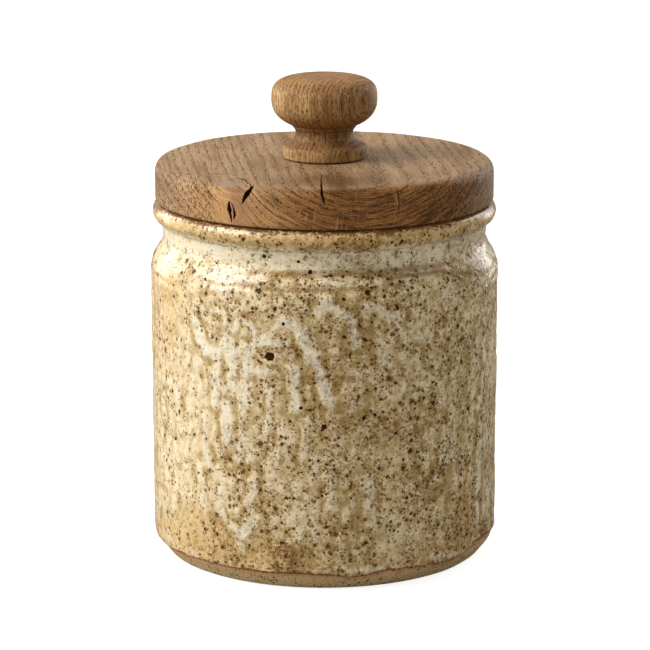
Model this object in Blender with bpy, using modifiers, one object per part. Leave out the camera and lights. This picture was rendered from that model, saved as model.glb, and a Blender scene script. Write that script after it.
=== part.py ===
"""Stoneware storage jar, shut by an oak lid with a turned oak knob.

The jar stands on z = 0 with its axis on Z, and -Y is its front. Sizes are in metres.
"""

from math import cos, pi, radians, sin, sqrt
from typing import NamedTuple

import bmesh
import bpy
from mathutils import Matrix

MM = 0.001

# Driving sizes
BODY_RADIUS = 62.5 * MM
RIM_TOP = 128.1 * MM
LID_RADIUS = 60.55 * MM
LID_THICKNESS = 14.3 * MM
KNOB_RADIUS = 18.9 * MM
KNOB_HEIGHT = 29.4 * MM
REST_GAP = 0.3 * MM

# Foot: bare clay, bevelled up to the thick lower edge of the glaze
FOOT_RADIUS = BODY_RADIUS - 4.6 * MM
FOOT_EDGE = 0.5 * MM
BEVEL_TOP_RADIUS = BODY_RADIUS - 1.1 * MM
BEVEL_TOP = 5.15 * MM
GLAZE_ROLL = 0.6 * MM
GLAZE_ROLL_CENTRE = (BODY_RADIUS - 0.9 * MM, BEVEL_TOP + 0.75 * MM)
GLAZE_ROLL_FROM = radians(35)
GLAZE_ROLL_TO = radians(-75)

# Belly: upright, a hair narrower towards the foot
BELLY_TAPER = 0.25 * MM
BELLY_SHARES = (0.3, 0.6, 0.85)

# Shoulder and neck: an outward bend, a straight slope and a hollow under the rim
SHOULDER_START = 104.0 * MM
SHOULDER_BEND = 9.0 * MM
SLOPE = radians(34)
NECK_RADIUS = BODY_RADIUS - 4.9 * MM
NECK_BEND = 6.0 * MM
NECK_CENTRE = 116.0 * MM
NECK_FLARE = radians(12)
UNDER_BEAD_RADIUS = NECK_RADIUS + 0.35 * MM
UNDER_BEAD = 120.4 * MM

# Rim: a rolled bead
BEAD_RADIUS = 3.6 * MM
BEAD_CENTRE = (BODY_RADIUS - 4.6 * MM, RIM_TOP - BEAD_RADIUS)
BEAD_FROM = radians(90)
BEAD_TO = radians(-62)

# Lid: a turned disc with a soft top edge
LID_BOTTOM = RIM_TOP + REST_GAP
LID_TOP = LID_BOTTOM + LID_THICKNESS
LID_TOP_ROUND = 3.9 * MM
LID_BOTTOM_ROUND = 0.8 * MM

# Knob: a base ring, a cove, and a bulb with a flattened top
KNOB_BOTTOM = LID_TOP + REST_GAP
RING_RADIUS = 15.0 * MM
RING_HEIGHT = 3.9 * MM
RING_ROUND = 0.5 * MM
WAIST_RADIUS = 10.3 * MM
WAIST_HEIGHT = 8.9 * MM
COVE_DEPTH = 5.8 * MM
COVE_DOWN = 4.6 * MM
COVE_UP = 3.6 * MM
COVE_FROM = radians(38)
COVE_TO = radians(-76)
BULB_HEIGHT = 20.9 * MM
BULB_BELOW = 11.0 * MM
BULB_BELOW_POWER = 2.3
BULB_ABOVE_POWER = 3.4
BULB_ABOVE_SHARES = (0.995, 0.96, 0.88, 0.76, 0.6, 0.4, 0.2)
BULB_BELOW_SHARES = (0.0, 0.2, 0.36, 0.52, 0.66, 0.78, 0.85)

# Fineness: steps round each turned piece, and straight pieces along each bend of its outline
JAR_STEPS = 80
LID_STEPS = 80
KNOB_STEPS = 56
BEAD_PIECES = 10
LONG_BEND_PIECES = 6
BEND_PIECES = 5
SHORT_BEND_PIECES = 3
LENS_SEGMENTS = 12
LENS_RINGS = 8
POLE_MERGE = 0.01 * MM


class Check(NamedTuple):
    """A split that drying has opened in the lid's rim: a lens across the rim, long into the wood."""

    name: str
    across: float
    above_underside: float
    half_width: float
    half_height: float
    half_depth: float
    lean: float


CHECKS = (
    Check("long_check", -26.1 * MM, 11.9 * MM, 1.0 * MM, 5.0 * MM, 5.5 * MM, radians(26)),
    Check("knot_hole", -32.0 * MM, 4.6 * MM, 1.6 * MM, 3.4 * MM, 3.6 * MM, radians(-8)),
    Check("short_check", -0.8 * MM, 14.2 * MM, 0.45 * MM, 3.8 * MM, 14.0 * MM, radians(2)),
)


class Finish(NamedTuple):
    """The plain look of one material."""

    name: str
    colour: tuple
    roughness: float


GLAZE = Finish("speckled_glaze", (0.56, 0.44, 0.26), 0.25)
LID_OAK = Finish("lid_oak", (0.24, 0.13, 0.06), 0.55)
KNOB_OAK = Finish("knob_oak", (0.28, 0.15, 0.06), 0.5)


def clear_scene():
    """Removes what the file starts with."""
    for item in list(bpy.data.objects):
        bpy.data.objects.remove(item)


def new_collection(name):
    """A collection linked to the scene."""
    collection = bpy.data.collections.new(name)
    bpy.context.scene.collection.children.link(collection)
    return collection


def new_material(finish):
    """A Principled material of the given finish."""
    material = bpy.data.materials.new(finish.name)
    material.use_nodes = True
    shader = material.node_tree.nodes["Principled BSDF"]
    shader.inputs["Base Color"].default_value = (*finish.colour, 1.0)
    shader.inputs["Roughness"].default_value = finish.roughness
    shader.inputs["Metallic"].default_value = 0.0
    return material


def arc(centre, size, start, end, pieces):
    """Points (radius, height) of an arc; size is its two half axes, angles run from the +radius side."""
    angles = [start + (end - start) * i / pieces for i in range(pieces + 1)]
    return [(centre[0] + size[0] * cos(a), centre[1] + size[1] * sin(a)) for a in angles]


def jar_profile():
    """The jar's outline from the middle of its top, down the outside, to the middle of its foot."""
    bead = arc(BEAD_CENTRE, (BEAD_RADIUS, BEAD_RADIUS), BEAD_FROM, BEAD_TO, BEAD_PIECES)
    neck_middle = (NECK_RADIUS + NECK_BEND, NECK_CENTRE)
    neck = arc(neck_middle, (-NECK_BEND, NECK_BEND), NECK_FLARE, -SLOPE, BEND_PIECES)
    shoulder_middle = (BODY_RADIUS - SHOULDER_BEND, SHOULDER_START)
    shoulder = arc(shoulder_middle, (SHOULDER_BEND, SHOULDER_BEND), SLOPE, 0, BEND_PIECES)
    belly = [(BODY_RADIUS - BELLY_TAPER * t, SHOULDER_START * (1 - t)) for t in BELLY_SHARES]
    roll_size = (GLAZE_ROLL, GLAZE_ROLL)
    roll = arc(GLAZE_ROLL_CENTRE, roll_size, GLAZE_ROLL_FROM, GLAZE_ROLL_TO, SHORT_BEND_PIECES)
    foot = [(BEVEL_TOP_RADIUS, BEVEL_TOP), (FOOT_RADIUS, FOOT_EDGE), (FOOT_RADIUS - FOOT_EDGE, 0)]
    outside = bead + [(UNDER_BEAD_RADIUS, UNDER_BEAD)] + neck + shoulder + belly + roll + foot
    return [(0, RIM_TOP)] + outside + [(0, 0)]


def lid_profile():
    """The lid's outline, top to bottom."""
    top_middle = (LID_RADIUS - LID_TOP_ROUND, LID_TOP - LID_TOP_ROUND)
    top_edge = arc(top_middle, (LID_TOP_ROUND, LID_TOP_ROUND), pi / 2, 0, LONG_BEND_PIECES)
    bottom_middle = (LID_RADIUS - LID_BOTTOM_ROUND, LID_BOTTOM + LID_BOTTOM_ROUND)
    bottom_edge = arc(bottom_middle, (LID_BOTTOM_ROUND, LID_BOTTOM_ROUND), 0, -pi / 2, SHORT_BEND_PIECES)
    return [(0, LID_TOP)] + top_edge + bottom_edge + [(0, LID_BOTTOM)]


def bulb_ring(share, reach, power):
    """A point of the bulb's outline at a share (0 to 1) of the way from its widest ring to its end."""
    radius = KNOB_RADIUS * (1 - share**power) ** (1 / power)
    return (radius, KNOB_BOTTOM + BULB_HEIGHT + reach * share)


def knob_profile():
    """The knob's outline, top to bottom."""
    above = KNOB_HEIGHT - BULB_HEIGHT
    bulb = [bulb_ring(share, above, BULB_ABOVE_POWER) for share in BULB_ABOVE_SHARES]
    bulb += [bulb_ring(share, -BULB_BELOW, BULB_BELOW_POWER) for share in BULB_BELOW_SHARES]
    cove_middle = (WAIST_RADIUS + COVE_DEPTH, KNOB_BOTTOM + WAIST_HEIGHT)
    cove = arc(cove_middle, (-COVE_DEPTH, COVE_UP), COVE_FROM, 0, SHORT_BEND_PIECES)
    cove += arc(cove_middle, (-COVE_DEPTH, COVE_DOWN), 0, COVE_TO, BEND_PIECES)[1:]
    ring = [
        (RING_RADIUS, KNOB_BOTTOM + RING_HEIGHT),
        (RING_RADIUS, KNOB_BOTTOM + RING_ROUND),
        (RING_RADIUS - RING_ROUND, KNOB_BOTTOM),
    ]
    return [(0, KNOB_BOTTOM + KNOB_HEIGHT)] + bulb + cove + ring + [(0, KNOB_BOTTOM)]


def turned(name, profile, steps, material, collection):
    """A solid of revolution about Z: the outline as edges, spun by a Screw modifier."""
    mesh = bpy.data.meshes.new(name)
    shape = bmesh.new()
    corners = [shape.verts.new((radius, 0, height)) for radius, height in profile]
    for upper, lower in zip(corners, corners[1:]):
        shape.edges.new((upper, lower))
    shape.to_mesh(mesh)
    shape.free()
    mesh.materials.append(material)
    item = bpy.data.objects.new(name, mesh)
    collection.objects.link(item)
    screw = item.modifiers.new("turning", "SCREW")
    screw.axis = "Z"
    screw.angle = 2 * pi
    screw.steps = steps
    screw.render_steps = steps
    screw.use_merge_vertices = True
    screw.merge_threshold = POLE_MERGE
    screw.use_smooth_shade = True
    return item


def check_cutter(check, collection):
    """The lens that cuts one check, centred on the front of the lid's rim."""
    mesh = bpy.data.meshes.new(check.name)
    shape = bmesh.new()
    bmesh.ops.create_uvsphere(shape, u_segments=LENS_SEGMENTS, v_segments=LENS_RINGS, radius=1.0)
    size = Matrix.Diagonal((check.half_width, check.half_depth, check.half_height, 1.0))
    leaning = Matrix.Rotation(check.lean, 4, "Y")
    bmesh.ops.transform(shape, matrix=leaning @ size, verts=shape.verts)
    shape.to_mesh(mesh)
    shape.free()
    cutter = bpy.data.objects.new(check.name, mesh)
    front = -sqrt(LID_RADIUS**2 - check.across**2)
    cutter.location = (check.across, front, LID_BOTTOM + check.above_underside)
    cutter.hide_render = True
    cutter.display_type = "WIRE"
    collection.objects.link(cutter)
    return cutter


def open_check(lid, check, collection):
    """Cuts one check out of the lid."""
    cut = lid.modifiers.new(check.name, "BOOLEAN")
    cut.operation = "DIFFERENCE"
    cut.solver = "EXACT"
    cut.object = check_cutter(check, collection)


def main():
    """Builds the jar, its lid and its knob."""
    clear_scene()
    storage_jar = new_collection("storage_jar")
    cutters = new_collection("cutters")
    turned("stoneware_jar", jar_profile(), JAR_STEPS, new_material(GLAZE), storage_jar)
    lid = turned("oak_lid", lid_profile(), LID_STEPS, new_material(LID_OAK), storage_jar)
    for check in CHECKS:
        open_check(lid, check, cutters)
    turned("oak_knob", knob_profile(), KNOB_STEPS, new_material(KNOB_OAK), storage_jar)


main()
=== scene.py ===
"""Speckled stoneware storage jar with a lid and a turned knob of oak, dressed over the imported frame.

The jar stands on z = 0 with its axis on Z and its front towards -Y. Lengths are in millimetres and angles in
degrees, and a place on the jar is its angle round the axis from the front, positive to the right, and its
height. Meshes are written in metres.
"""

import logging
from dataclasses import dataclass
from enum import Enum
from math import cos, pi, radians, sin, sqrt
from typing import Any, Mapping, Optional, Sequence, Union

import bmesh
import bpy
import numpy as np
from mathutils import Euler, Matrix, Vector

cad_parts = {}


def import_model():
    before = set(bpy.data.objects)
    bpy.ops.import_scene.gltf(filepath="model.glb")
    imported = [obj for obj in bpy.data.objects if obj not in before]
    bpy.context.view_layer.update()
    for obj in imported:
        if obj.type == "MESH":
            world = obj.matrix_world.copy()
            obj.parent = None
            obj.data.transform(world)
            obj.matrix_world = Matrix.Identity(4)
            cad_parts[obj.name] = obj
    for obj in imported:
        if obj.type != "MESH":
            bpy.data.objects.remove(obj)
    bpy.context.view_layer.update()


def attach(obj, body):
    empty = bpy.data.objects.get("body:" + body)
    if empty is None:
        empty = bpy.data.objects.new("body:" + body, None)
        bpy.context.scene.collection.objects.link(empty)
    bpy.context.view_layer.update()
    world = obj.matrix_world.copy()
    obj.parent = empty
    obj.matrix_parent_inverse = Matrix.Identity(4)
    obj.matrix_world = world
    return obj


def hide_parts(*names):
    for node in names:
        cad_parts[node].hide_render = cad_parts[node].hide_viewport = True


# One millimetre in metres, and a length that keeps a division away from zero
MM = 0.001
TINY = 1e-6
LOG = logging.getLogger("storage_jar")

Colour = tuple[float, float, float]
Point = tuple[float, float]
Socket = bpy.types.NodeSocket
Feed = Union[Socket, float, int, bool, Sequence[float], bpy.types.Material, None]


def tint(red: int, green: int, blue: int) -> Colour:
    """A linear colour from its display values of 0 to 255."""
    shares = (value / 255 for value in (red, green, blue))
    return tuple(share / 12.92 if share <= 0.04045 else ((share + 0.055) / 1.055) ** 2.4 for share in shares)


def smooth_step(low: float, high: float, value: np.ndarray) -> np.ndarray:
    """A smooth rise from 0 where value is low to 1 where it is high."""
    share = np.clip((value - low) / (high - low), 0.0, 1.0)
    return share * share * (3.0 - 2.0 * share)


class SoftNoise:
    """Seeded smooth noise in space, from -1 to 1, for relief that goes into a mesh."""

    LATTICE = 32

    def __init__(self, seed: int) -> None:
        """Fills the lattice that the noise is read from.

        Args:
            seed: fixes the pattern.
        """
        self.lattice = np.random.default_rng(seed).uniform(-1.0, 1.0, (self.LATTICE,) * 3)

    def read(self, places: np.ndarray, size: Union[float, Sequence[float]]) -> np.ndarray:
        """Noise at each place.

        Args:
            places: one row of x, y and z for each place.
            size: the length of a lump, or its lengths along x, y and z.

        Returns:
            One value for each place.
        """
        scaled = places / np.asarray(size)
        corner = np.floor(scaled).astype(int)
        share = scaled - corner
        share = share * share * (3.0 - 2.0 * share)
        total = np.zeros(len(places))
        for offset in np.ndindex(2, 2, 2):
            weight = np.prod(np.where(np.array(offset) == 1, share, 1.0 - share), axis=1)
            at = (corner + offset) % self.LATTICE
            total += weight * self.lattice[at[:, 0], at[:, 1], at[:, 2]]
        return total


class Wiring:
    """Adds and wires nodes in one node tree."""

    VALUE_OPERATIONS = ("DISTANCE", "DOT_PRODUCT", "LENGTH")

    def __init__(self, tree: bpy.types.NodeTree) -> None:
        """Args:
        tree: the node tree to add to.
        """
        self.tree = tree

    def feed(self, socket: Socket, value: Feed) -> None:
        """Links a socket into another, or sets its value."""
        if isinstance(value, Socket):
            self.tree.links.new(value, socket)
        elif socket.type == "RGBA" and len(value) == 3:
            socket.default_value = (*value, 1.0)
        else:
            socket.default_value = value

    def add(self, kind: str, inputs: Optional[Mapping[Any, Feed]] = None, **settings: Any) -> bpy.types.Node:
        """Adds a node.

        Args:
            kind: the node's type name.
            inputs: values or sockets for its inputs, by name or index.
            **settings: the node's own properties.

        Returns:
            The new node.
        """
        node = self.tree.nodes.new(kind)
        for name, value in settings.items():
            setattr(node, name, value)
        for key, value in (inputs or {}).items():
            self.feed(node.inputs[key], value)
        return node

    def math(self, operation: str, *values: Feed) -> Socket:
        """The result of a Math node."""
        return self.add("ShaderNodeMath", dict(enumerate(values)), operation=operation).outputs[0]

    def vector(self, operation: str, *values: Feed) -> Socket:
        """The result of a Vector Math node; SCALE takes a vector and a number."""
        keys = (0, "Scale") if operation == "SCALE" else range(len(values))
        node = self.add("ShaderNodeVectorMath", dict(zip(keys, values)), operation=operation)
        return node.outputs["Value" if operation in self.VALUE_OPERATIONS else "Vector"]

    def ramp(self, value: Feed, low: Feed, high: Feed, start: Feed = 0.0, end: Feed = 1.0) -> Socket:
        """A smooth change from start, where value is low, to end, where it is high."""
        inputs = {"Value": value, "From Min": low, "From Max": high, "To Min": start, "To Max": end}
        return self.add("ShaderNodeMapRange", inputs, interpolation_type="SMOOTHSTEP").outputs["Result"]

    def blend(self, share: Feed, first: Feed, second: Feed, mode: str = "MIX") -> Socket:
        """One colour laid over another."""
        node = self.add("ShaderNodeMix", {0: share, 6: first, 7: second}, data_type="RGBA", blend_type=mode)
        return node.outputs[2]

    def noise(self, place: Feed, size: float, detail: float = 2.0, roughness: float = 0.5) -> bpy.types.Node:
        """A Noise Texture node whose lumps have the given size."""
        inputs = {"Vector": place, "Scale": 1.0 / size, "Detail": detail, "Roughness": roughness}
        return self.add("ShaderNodeTexNoise", inputs)

    def lumps(self, place: Feed, size: float, detail: float = 2.0, roughness: float = 0.5) -> Socket:
        """Noise from 0 to 1."""
        return self.noise(place, size, detail, roughness).outputs["Fac"]

    def wander(self, place: Feed, size: float, detail: float = 1.0) -> Socket:
        """A noise vector about zero, to bend a place with."""
        return self.vector("SUBTRACT", self.noise(place, size, detail).outputs["Color"], (0.5, 0.5, 0.5))

    def bump(self, height: Feed) -> Socket:
        """The normal of a relief given in millimetres."""
        return self.add("ShaderNodeBump", {"Height": height, "Distance": MM, "Strength": 1.0}).outputs[0]

    def attribute(self, name: str) -> Socket:
        """A number stored on the mesh's points."""
        return self.add("ShaderNodeAttribute", attribute_name=name).outputs["Fac"]

    def split(self, vector: Feed) -> Sequence[Socket]:
        """The three parts of a vector."""
        return self.add("ShaderNodeSeparateXYZ", {0: vector}).outputs

    def join(self, x: Feed, y: Feed, z: Feed) -> Socket:
        """A vector from its three parts."""
        return self.add("ShaderNodeCombineXYZ", {0: x, 1: y, 2: z}).outputs[0]


class Kind(Enum):
    """Socket types of node groups."""

    NUMBER = "NodeSocketFloat"
    WHOLE = "NodeSocketInt"
    VECTOR = "NodeSocketVector"
    GEOMETRY = "NodeSocketGeometry"
    MATERIAL = "NodeSocketMaterial"


def new_group(
    name: str, tree_type: str, inputs: Mapping[str, tuple[Kind, Any]], outputs: Mapping[str, Kind]
) -> tuple[Wiring, bpy.types.Node, bpy.types.Node]:
    """Makes a node group with named inputs and outputs.

    Args:
        name: the group's name.
        tree_type: ShaderNodeTree or GeometryNodeTree.
        inputs: each input's kind and value.
        outputs: each output's kind.

    Returns:
        The wiring of the group, its input node and its output node.
    """
    tree = bpy.data.node_groups.new(name, tree_type)
    for label, (kind, value) in inputs.items():
        socket = tree.interface.new_socket(name=label, in_out="INPUT", socket_type=kind.value)
        if value is not None:
            socket.default_value = value
    for label, kind in outputs.items():
        tree.interface.new_socket(name=label, in_out="OUTPUT", socket_type=kind.value)
    wiring = Wiring(tree)
    return wiring, wiring.add("NodeGroupInput"), wiring.add("NodeGroupOutput")


def new_finish(name: str) -> tuple[bpy.types.Material, Wiring, bpy.types.Node, Socket]:
    """Makes an empty finish.

    Args:
        name: the material's name.

    Returns:
        The material, its wiring, its shader, and object coordinates in millimetres.
    """
    material = bpy.data.materials.new(name)
    material.use_nodes = True
    wiring = Wiring(material.node_tree)
    coordinates = wiring.add("ShaderNodeTexCoord").outputs["Object"]
    place = wiring.add("ShaderNodeMapping", {"Vector": coordinates, "Scale": (1.0 / MM,) * 3}).outputs[0]
    return material, wiring, material.node_tree.nodes["Principled BSDF"], place


def iron_specks_group() -> bpy.types.NodeTree:
    """Scattered specks of uneven size and shape, for glaze and for bare clay.

    Returns:
        The group, with the outputs Mask, 1 in a speck, Halo, 1 in and near a speck, and Shade, one random
        number a speck.
    """
    inputs = {
        "Place": (Kind.VECTOR, None),
        "Spacing": (Kind.NUMBER, 2.0),
        "Size": (Kind.NUMBER, 0.3),
        "Share": (Kind.NUMBER, 0.5),
        "Edge": (Kind.NUMBER, 0.4),
        "Unevenness": (Kind.NUMBER, 0.2),
    }
    outputs = {"Mask": Kind.NUMBER, "Halo": Kind.NUMBER, "Shade": Kind.NUMBER}
    wiring, given, result = new_group("iron_specks", "ShaderNodeTree", inputs, outputs)
    place = wiring.vector("SCALE", given.outputs["Place"], wiring.math("DIVIDE", 1.0, given.outputs["Spacing"]))
    wander = wiring.vector("SCALE", wiring.wander(place, 0.4), given.outputs["Unevenness"])
    place = wiring.vector("ADD", place, wander)
    cells = wiring.add("ShaderNodeTexVoronoi", {"Vector": place, "Scale": 1.0})
    distance = cells.outputs["Distance"]
    chance = wiring.split(cells.outputs["Color"])
    radius = wiring.math("MULTIPLY_ADD", wiring.math("POWER", chance[0], 3.0), 1.1, 0.4)
    radius = wiring.math("MULTIPLY", radius, given.outputs["Size"])
    core = wiring.math("MULTIPLY", radius, wiring.math("SUBTRACT", 1.0, given.outputs["Edge"]))
    here = wiring.math("LESS_THAN", chance[1], given.outputs["Share"])
    disc = wiring.ramp(distance, core, radius, 1.0, 0.0)
    glow_start = wiring.math("MULTIPLY", radius, 0.7)
    glow_end = wiring.math("MULTIPLY", radius, 2.3)
    glow = wiring.ramp(distance, glow_start, glow_end, 1.0, 0.0)
    wiring.feed(result.inputs["Mask"], wiring.math("MULTIPLY", disc, here))
    wiring.feed(result.inputs["Halo"], wiring.math("MULTIPLY", glow, here))
    wiring.feed(result.inputs["Shade"], chance[2])
    return wiring.tree


def oak_grain_group() -> bpy.types.NodeTree:
    """Oak: growth rings round the pith, open pores, rays and fibre, in millimetres.

    Returns:
        The group. It takes a place whose Z runs along the fibre and whose X and Y start from the pith, and
        puts out Ring, 1 in the porous early wood, Pore, 1 in a pore, Ray, 1 in a ray, Band, fine lines along
        the rings, Fibre, fine streaks along the fibre, Drift, slow changes of tone about 0.5, and Height, the
        relief in millimetres.
    """
    inputs = {
        "Place": (Kind.VECTOR, None),
        "Ring Width": (Kind.NUMBER, 2.4),
        "Pore Length": (Kind.NUMBER, 5.0),
        "Pore Spacing": (Kind.NUMBER, 0.6),
        "Pore Size": (Kind.NUMBER, 0.4),
        "Wander": (Kind.NUMBER, 1.6),
        "Ray Angle": (Kind.NUMBER, 0.009),
    }
    outputs = dict.fromkeys(("Ring", "Pore", "Ray", "Band", "Fibre", "Drift", "Height"), Kind.NUMBER)
    wiring, given, result = new_group("oak_grain", "ShaderNodeTree", inputs, outputs)
    place = given.outputs["Place"]
    slow = wiring.vector("MULTIPLY", place, (1.0, 1.0, 0.22))
    wander = wiring.vector("SCALE", wiring.wander(slow, 13.0, 2.0), given.outputs["Wander"])
    bent = wiring.vector("ADD", place, wander)
    bent_x, bent_y, _along = wiring.split(bent)
    pith_distance = wiring.vector("LENGTH", wiring.join(bent_x, bent_y, 0.0))
    uneven = wiring.lumps(wiring.join(pith_distance, 0.0, 0.0), 7.0, 1.0)
    grown = wiring.math("MULTIPLY_ADD", uneven, 3.0, pith_distance)
    phase = wiring.math("FRACT", wiring.math("DIVIDE", grown, given.outputs["Ring Width"]))
    ring = wiring.math("MULTIPLY", wiring.ramp(phase, 0.0, 0.1), wiring.ramp(phase, 0.2, 0.6, 1.0, 0.0))
    wiring.feed(result.inputs["Ring"], ring)

    x, y, z = wiring.split(place)
    finer = wiring.math("DIVIDE", 1.0, given.outputs["Pore Spacing"])
    shorter = wiring.math("DIVIDE", 1.0, given.outputs["Pore Length"])
    pore_place = wiring.join(
        wiring.math("MULTIPLY", x, finer), wiring.math("MULTIPLY", y, finer), wiring.math("MULTIPLY", z, shorter)
    )
    pores = wiring.add("ShaderNodeTexVoronoi", {"Vector": pore_place, "Scale": 1.0})
    chance = wiring.split(pores.outputs["Color"])
    reach = wiring.math("MULTIPLY", given.outputs["Pore Size"], wiring.math("MULTIPLY_ADD", ring, 0.6, 0.55))
    reach = wiring.math("MULTIPLY", reach, wiring.math("MULTIPLY_ADD", chance[0], 0.6, 0.7))
    open_here = wiring.math("LESS_THAN", chance[1], wiring.math("MULTIPLY_ADD", ring, 0.66, 0.34))
    pore = wiring.ramp(pores.outputs["Distance"], wiring.math("MULTIPLY", reach, 0.6), reach, 1.0, 0.0)
    pore = wiring.math("MULTIPLY", pore, open_here)
    wiring.feed(result.inputs["Pore"], pore)

    turn = wiring.math("ARCTAN2", bent_x, bent_y)
    ray_place = wiring.join(
        wiring.math("DIVIDE", turn, given.outputs["Ray Angle"]),
        wiring.math("MULTIPLY", pith_distance, 0.14),
        wiring.math("MULTIPLY", z, 0.04),
    )
    ray = wiring.ramp(wiring.lumps(ray_place, 1.0, 0.0), 0.66, 0.8)
    wiring.feed(result.inputs["Ray"], ray)
    band_place = wiring.join(
        wiring.math("MULTIPLY", pith_distance, 3.0),
        wiring.math("MULTIPLY", turn, 9.0),
        wiring.math("MULTIPLY", z, 0.05),
    )
    wiring.feed(result.inputs["Band"], wiring.lumps(band_place, 1.0, 3.0, 0.65))

    fibre = wiring.lumps(wiring.vector("MULTIPLY", place, (1.0, 1.0, 0.05)), 0.5, 3.0, 0.7)
    wiring.feed(result.inputs["Fibre"], fibre)
    wiring.feed(result.inputs["Drift"], wiring.lumps(slow, 9.0, 3.0))

    height = wiring.math("MULTIPLY_ADD", fibre, 0.12, wiring.math("MULTIPLY", pore, -0.14))
    wiring.feed(result.inputs["Height"], wiring.math("MULTIPLY_ADD", ring, -0.05, height))
    return wiring.tree


def turned_piece_tree() -> bpy.types.NodeTree:
    """Spins an outline about Z: a grid of rows by steps is laid on the outline's points, row by row.

    Returns:
        The Geometry Nodes tree. It stores each point's row as the attribute row.
    """
    inputs = {
        "Outline": (Kind.GEOMETRY, None),
        "Steps": (Kind.WHOLE, 256),
        "Merge Distance": (Kind.NUMBER, 0.000002),
        "Finish": (Kind.MATERIAL, None),
    }
    wiring, given, result = new_group("turned_piece", "GeometryNodeTree", inputs, {"Piece": Kind.GEOMETRY})
    outline = given.outputs["Outline"]
    rows = wiring.add("GeometryNodeAttributeDomainSize", {"Geometry": outline}).outputs["Point Count"]
    columns = wiring.math("ADD", given.outputs["Steps"], 1.0)
    grid = wiring.add("GeometryNodeMeshGrid", {"Vertices X": rows, "Vertices Y": columns}).outputs["Mesh"]
    index = wiring.add("GeometryNodeInputIndex").outputs[0]
    row = wiring.math("FLOOR", wiring.math("DIVIDE", wiring.math("ADD", index, 0.5), columns))
    step = wiring.math("SUBTRACT", index, wiring.math("MULTIPLY", row, columns))
    angle = wiring.math("MULTIPLY", wiring.math("DIVIDE", step, given.outputs["Steps"]), 2.0 * pi)
    position = wiring.add("GeometryNodeInputPosition").outputs[0]
    sampled = wiring.add(
        "GeometryNodeSampleIndex",
        {"Geometry": outline, "Value": position, "Index": row},
        data_type="FLOAT_VECTOR",
        domain="POINT",
    )
    turning = {"Vector": sampled.outputs[0], "Angle": angle}
    spun = wiring.add("ShaderNodeVectorRotate", turning, rotation_type="Z_AXIS")
    laid = wiring.add("GeometryNodeSetPosition", {"Geometry": grid, "Position": spun.outputs[0]})
    stored = wiring.add(
        "GeometryNodeStoreNamedAttribute",
        {"Geometry": laid.outputs[0], "Name": "row", "Value": row},
        data_type="FLOAT",
        domain="POINT",
    )
    merged = wiring.add(
        "GeometryNodeMergeByDistance", {"Geometry": stored.outputs[0], "Distance": given.outputs["Merge Distance"]}
    )
    smooth = wiring.add("GeometryNodeSetShadeSmooth", {"Geometry": merged.outputs[0], "Shade Smooth": True})
    real = wiring.add("GeometryNodeRealizeInstances", {"Geometry": smooth.outputs[0]})
    dressed = wiring.add(
        "GeometryNodeSetMaterial", {"Geometry": real.outputs[0], "Material": given.outputs["Finish"]}
    )
    wiring.feed(result.inputs["Piece"], dressed.outputs[0])
    return wiring.tree


def iron_blisters_tree() -> bpy.types.NodeTree:
    """Strews low blisters of iron over a glazed surface, more where its attribute iron is high.

    Returns:
        The Geometry Nodes tree.
    """
    inputs = {
        "Surface": (Kind.GEOMETRY, None),
        "Density": (Kind.NUMBER, 5500.0),
        "Smallest": (Kind.NUMBER, 0.0002),
        "Largest": (Kind.NUMBER, 0.00055),
        "Flatness": (Kind.NUMBER, 0.09),
        "Seed": (Kind.WHOLE, 3),
        "Finish": (Kind.MATERIAL, None),
    }
    wiring, given, result = new_group("iron_blisters", "GeometryNodeTree", inputs, {"Blisters": Kind.GEOMETRY})
    iron = wiring.add("GeometryNodeInputNamedAttribute", {"Name": "iron"}, data_type="FLOAT").outputs["Attribute"]
    points = wiring.add(
        "GeometryNodeDistributePointsOnFaces",
        {
            "Mesh": given.outputs["Surface"],
            "Density": wiring.math("MULTIPLY", iron, given.outputs["Density"]),
            "Seed": given.outputs["Seed"],
        },
        distribute_method="RANDOM",
    )
    cone = wiring.add(
        "GeometryNodeMeshCone",
        {"Vertices": 9, "Side Segments": 1, "Radius Top": 0.5, "Radius Bottom": 1.0, "Depth": 1.0},
    )
    soft = wiring.add("GeometryNodeSetShadeSmooth", {"Geometry": cone.outputs["Mesh"], "Shade Smooth": True})
    chance = wiring.add(
        "FunctionNodeRandomValue", {"Min": (0.0, 0.0, 0.0), "Max": (1.0, 1.0, 1.0)}, data_type="FLOAT_VECTOR"
    )
    wiring.feed(chance.inputs["Seed"], given.outputs["Seed"])
    first, second, _third = wiring.split(chance.outputs[0])
    spread = wiring.math("SUBTRACT", given.outputs["Largest"], given.outputs["Smallest"])
    radius = wiring.math("MULTIPLY_ADD", wiring.math("POWER", first, 3.0), spread, given.outputs["Smallest"])
    squeeze = wiring.math("MULTIPLY", radius, wiring.math("MULTIPLY_ADD", second, 0.5, 0.6))
    scale = wiring.join(radius, squeeze, wiring.math("MULTIPLY", radius, given.outputs["Flatness"]))
    placed = wiring.add(
        "GeometryNodeInstanceOnPoints",
        {
            "Points": points.outputs["Points"],
            "Instance": soft.outputs[0],
            "Rotation": points.outputs["Rotation"],
            "Scale": scale,
        },
    )
    real = wiring.add("GeometryNodeRealizeInstances", {"Geometry": placed.outputs[0]})
    dressed = wiring.add(
        "GeometryNodeSetMaterial", {"Geometry": real.outputs[0], "Material": given.outputs["Finish"]}
    )
    wiring.feed(result.inputs["Blisters"], dressed.outputs[0])
    return wiring.tree


def new_object(name: str, data: Any) -> bpy.types.Object:
    """An object of a mesh, light or camera, in the scene."""
    item = bpy.data.objects.new(name, data)
    bpy.context.scene.collection.objects.link(item)
    return item


def cover(mesh: bpy.types.Mesh, *finishes: bpy.types.Material) -> None:
    """Gives the mesh its finishes, in order."""
    mesh.materials.clear()
    for finish in finishes:
        mesh.materials.append(finish)


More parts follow.
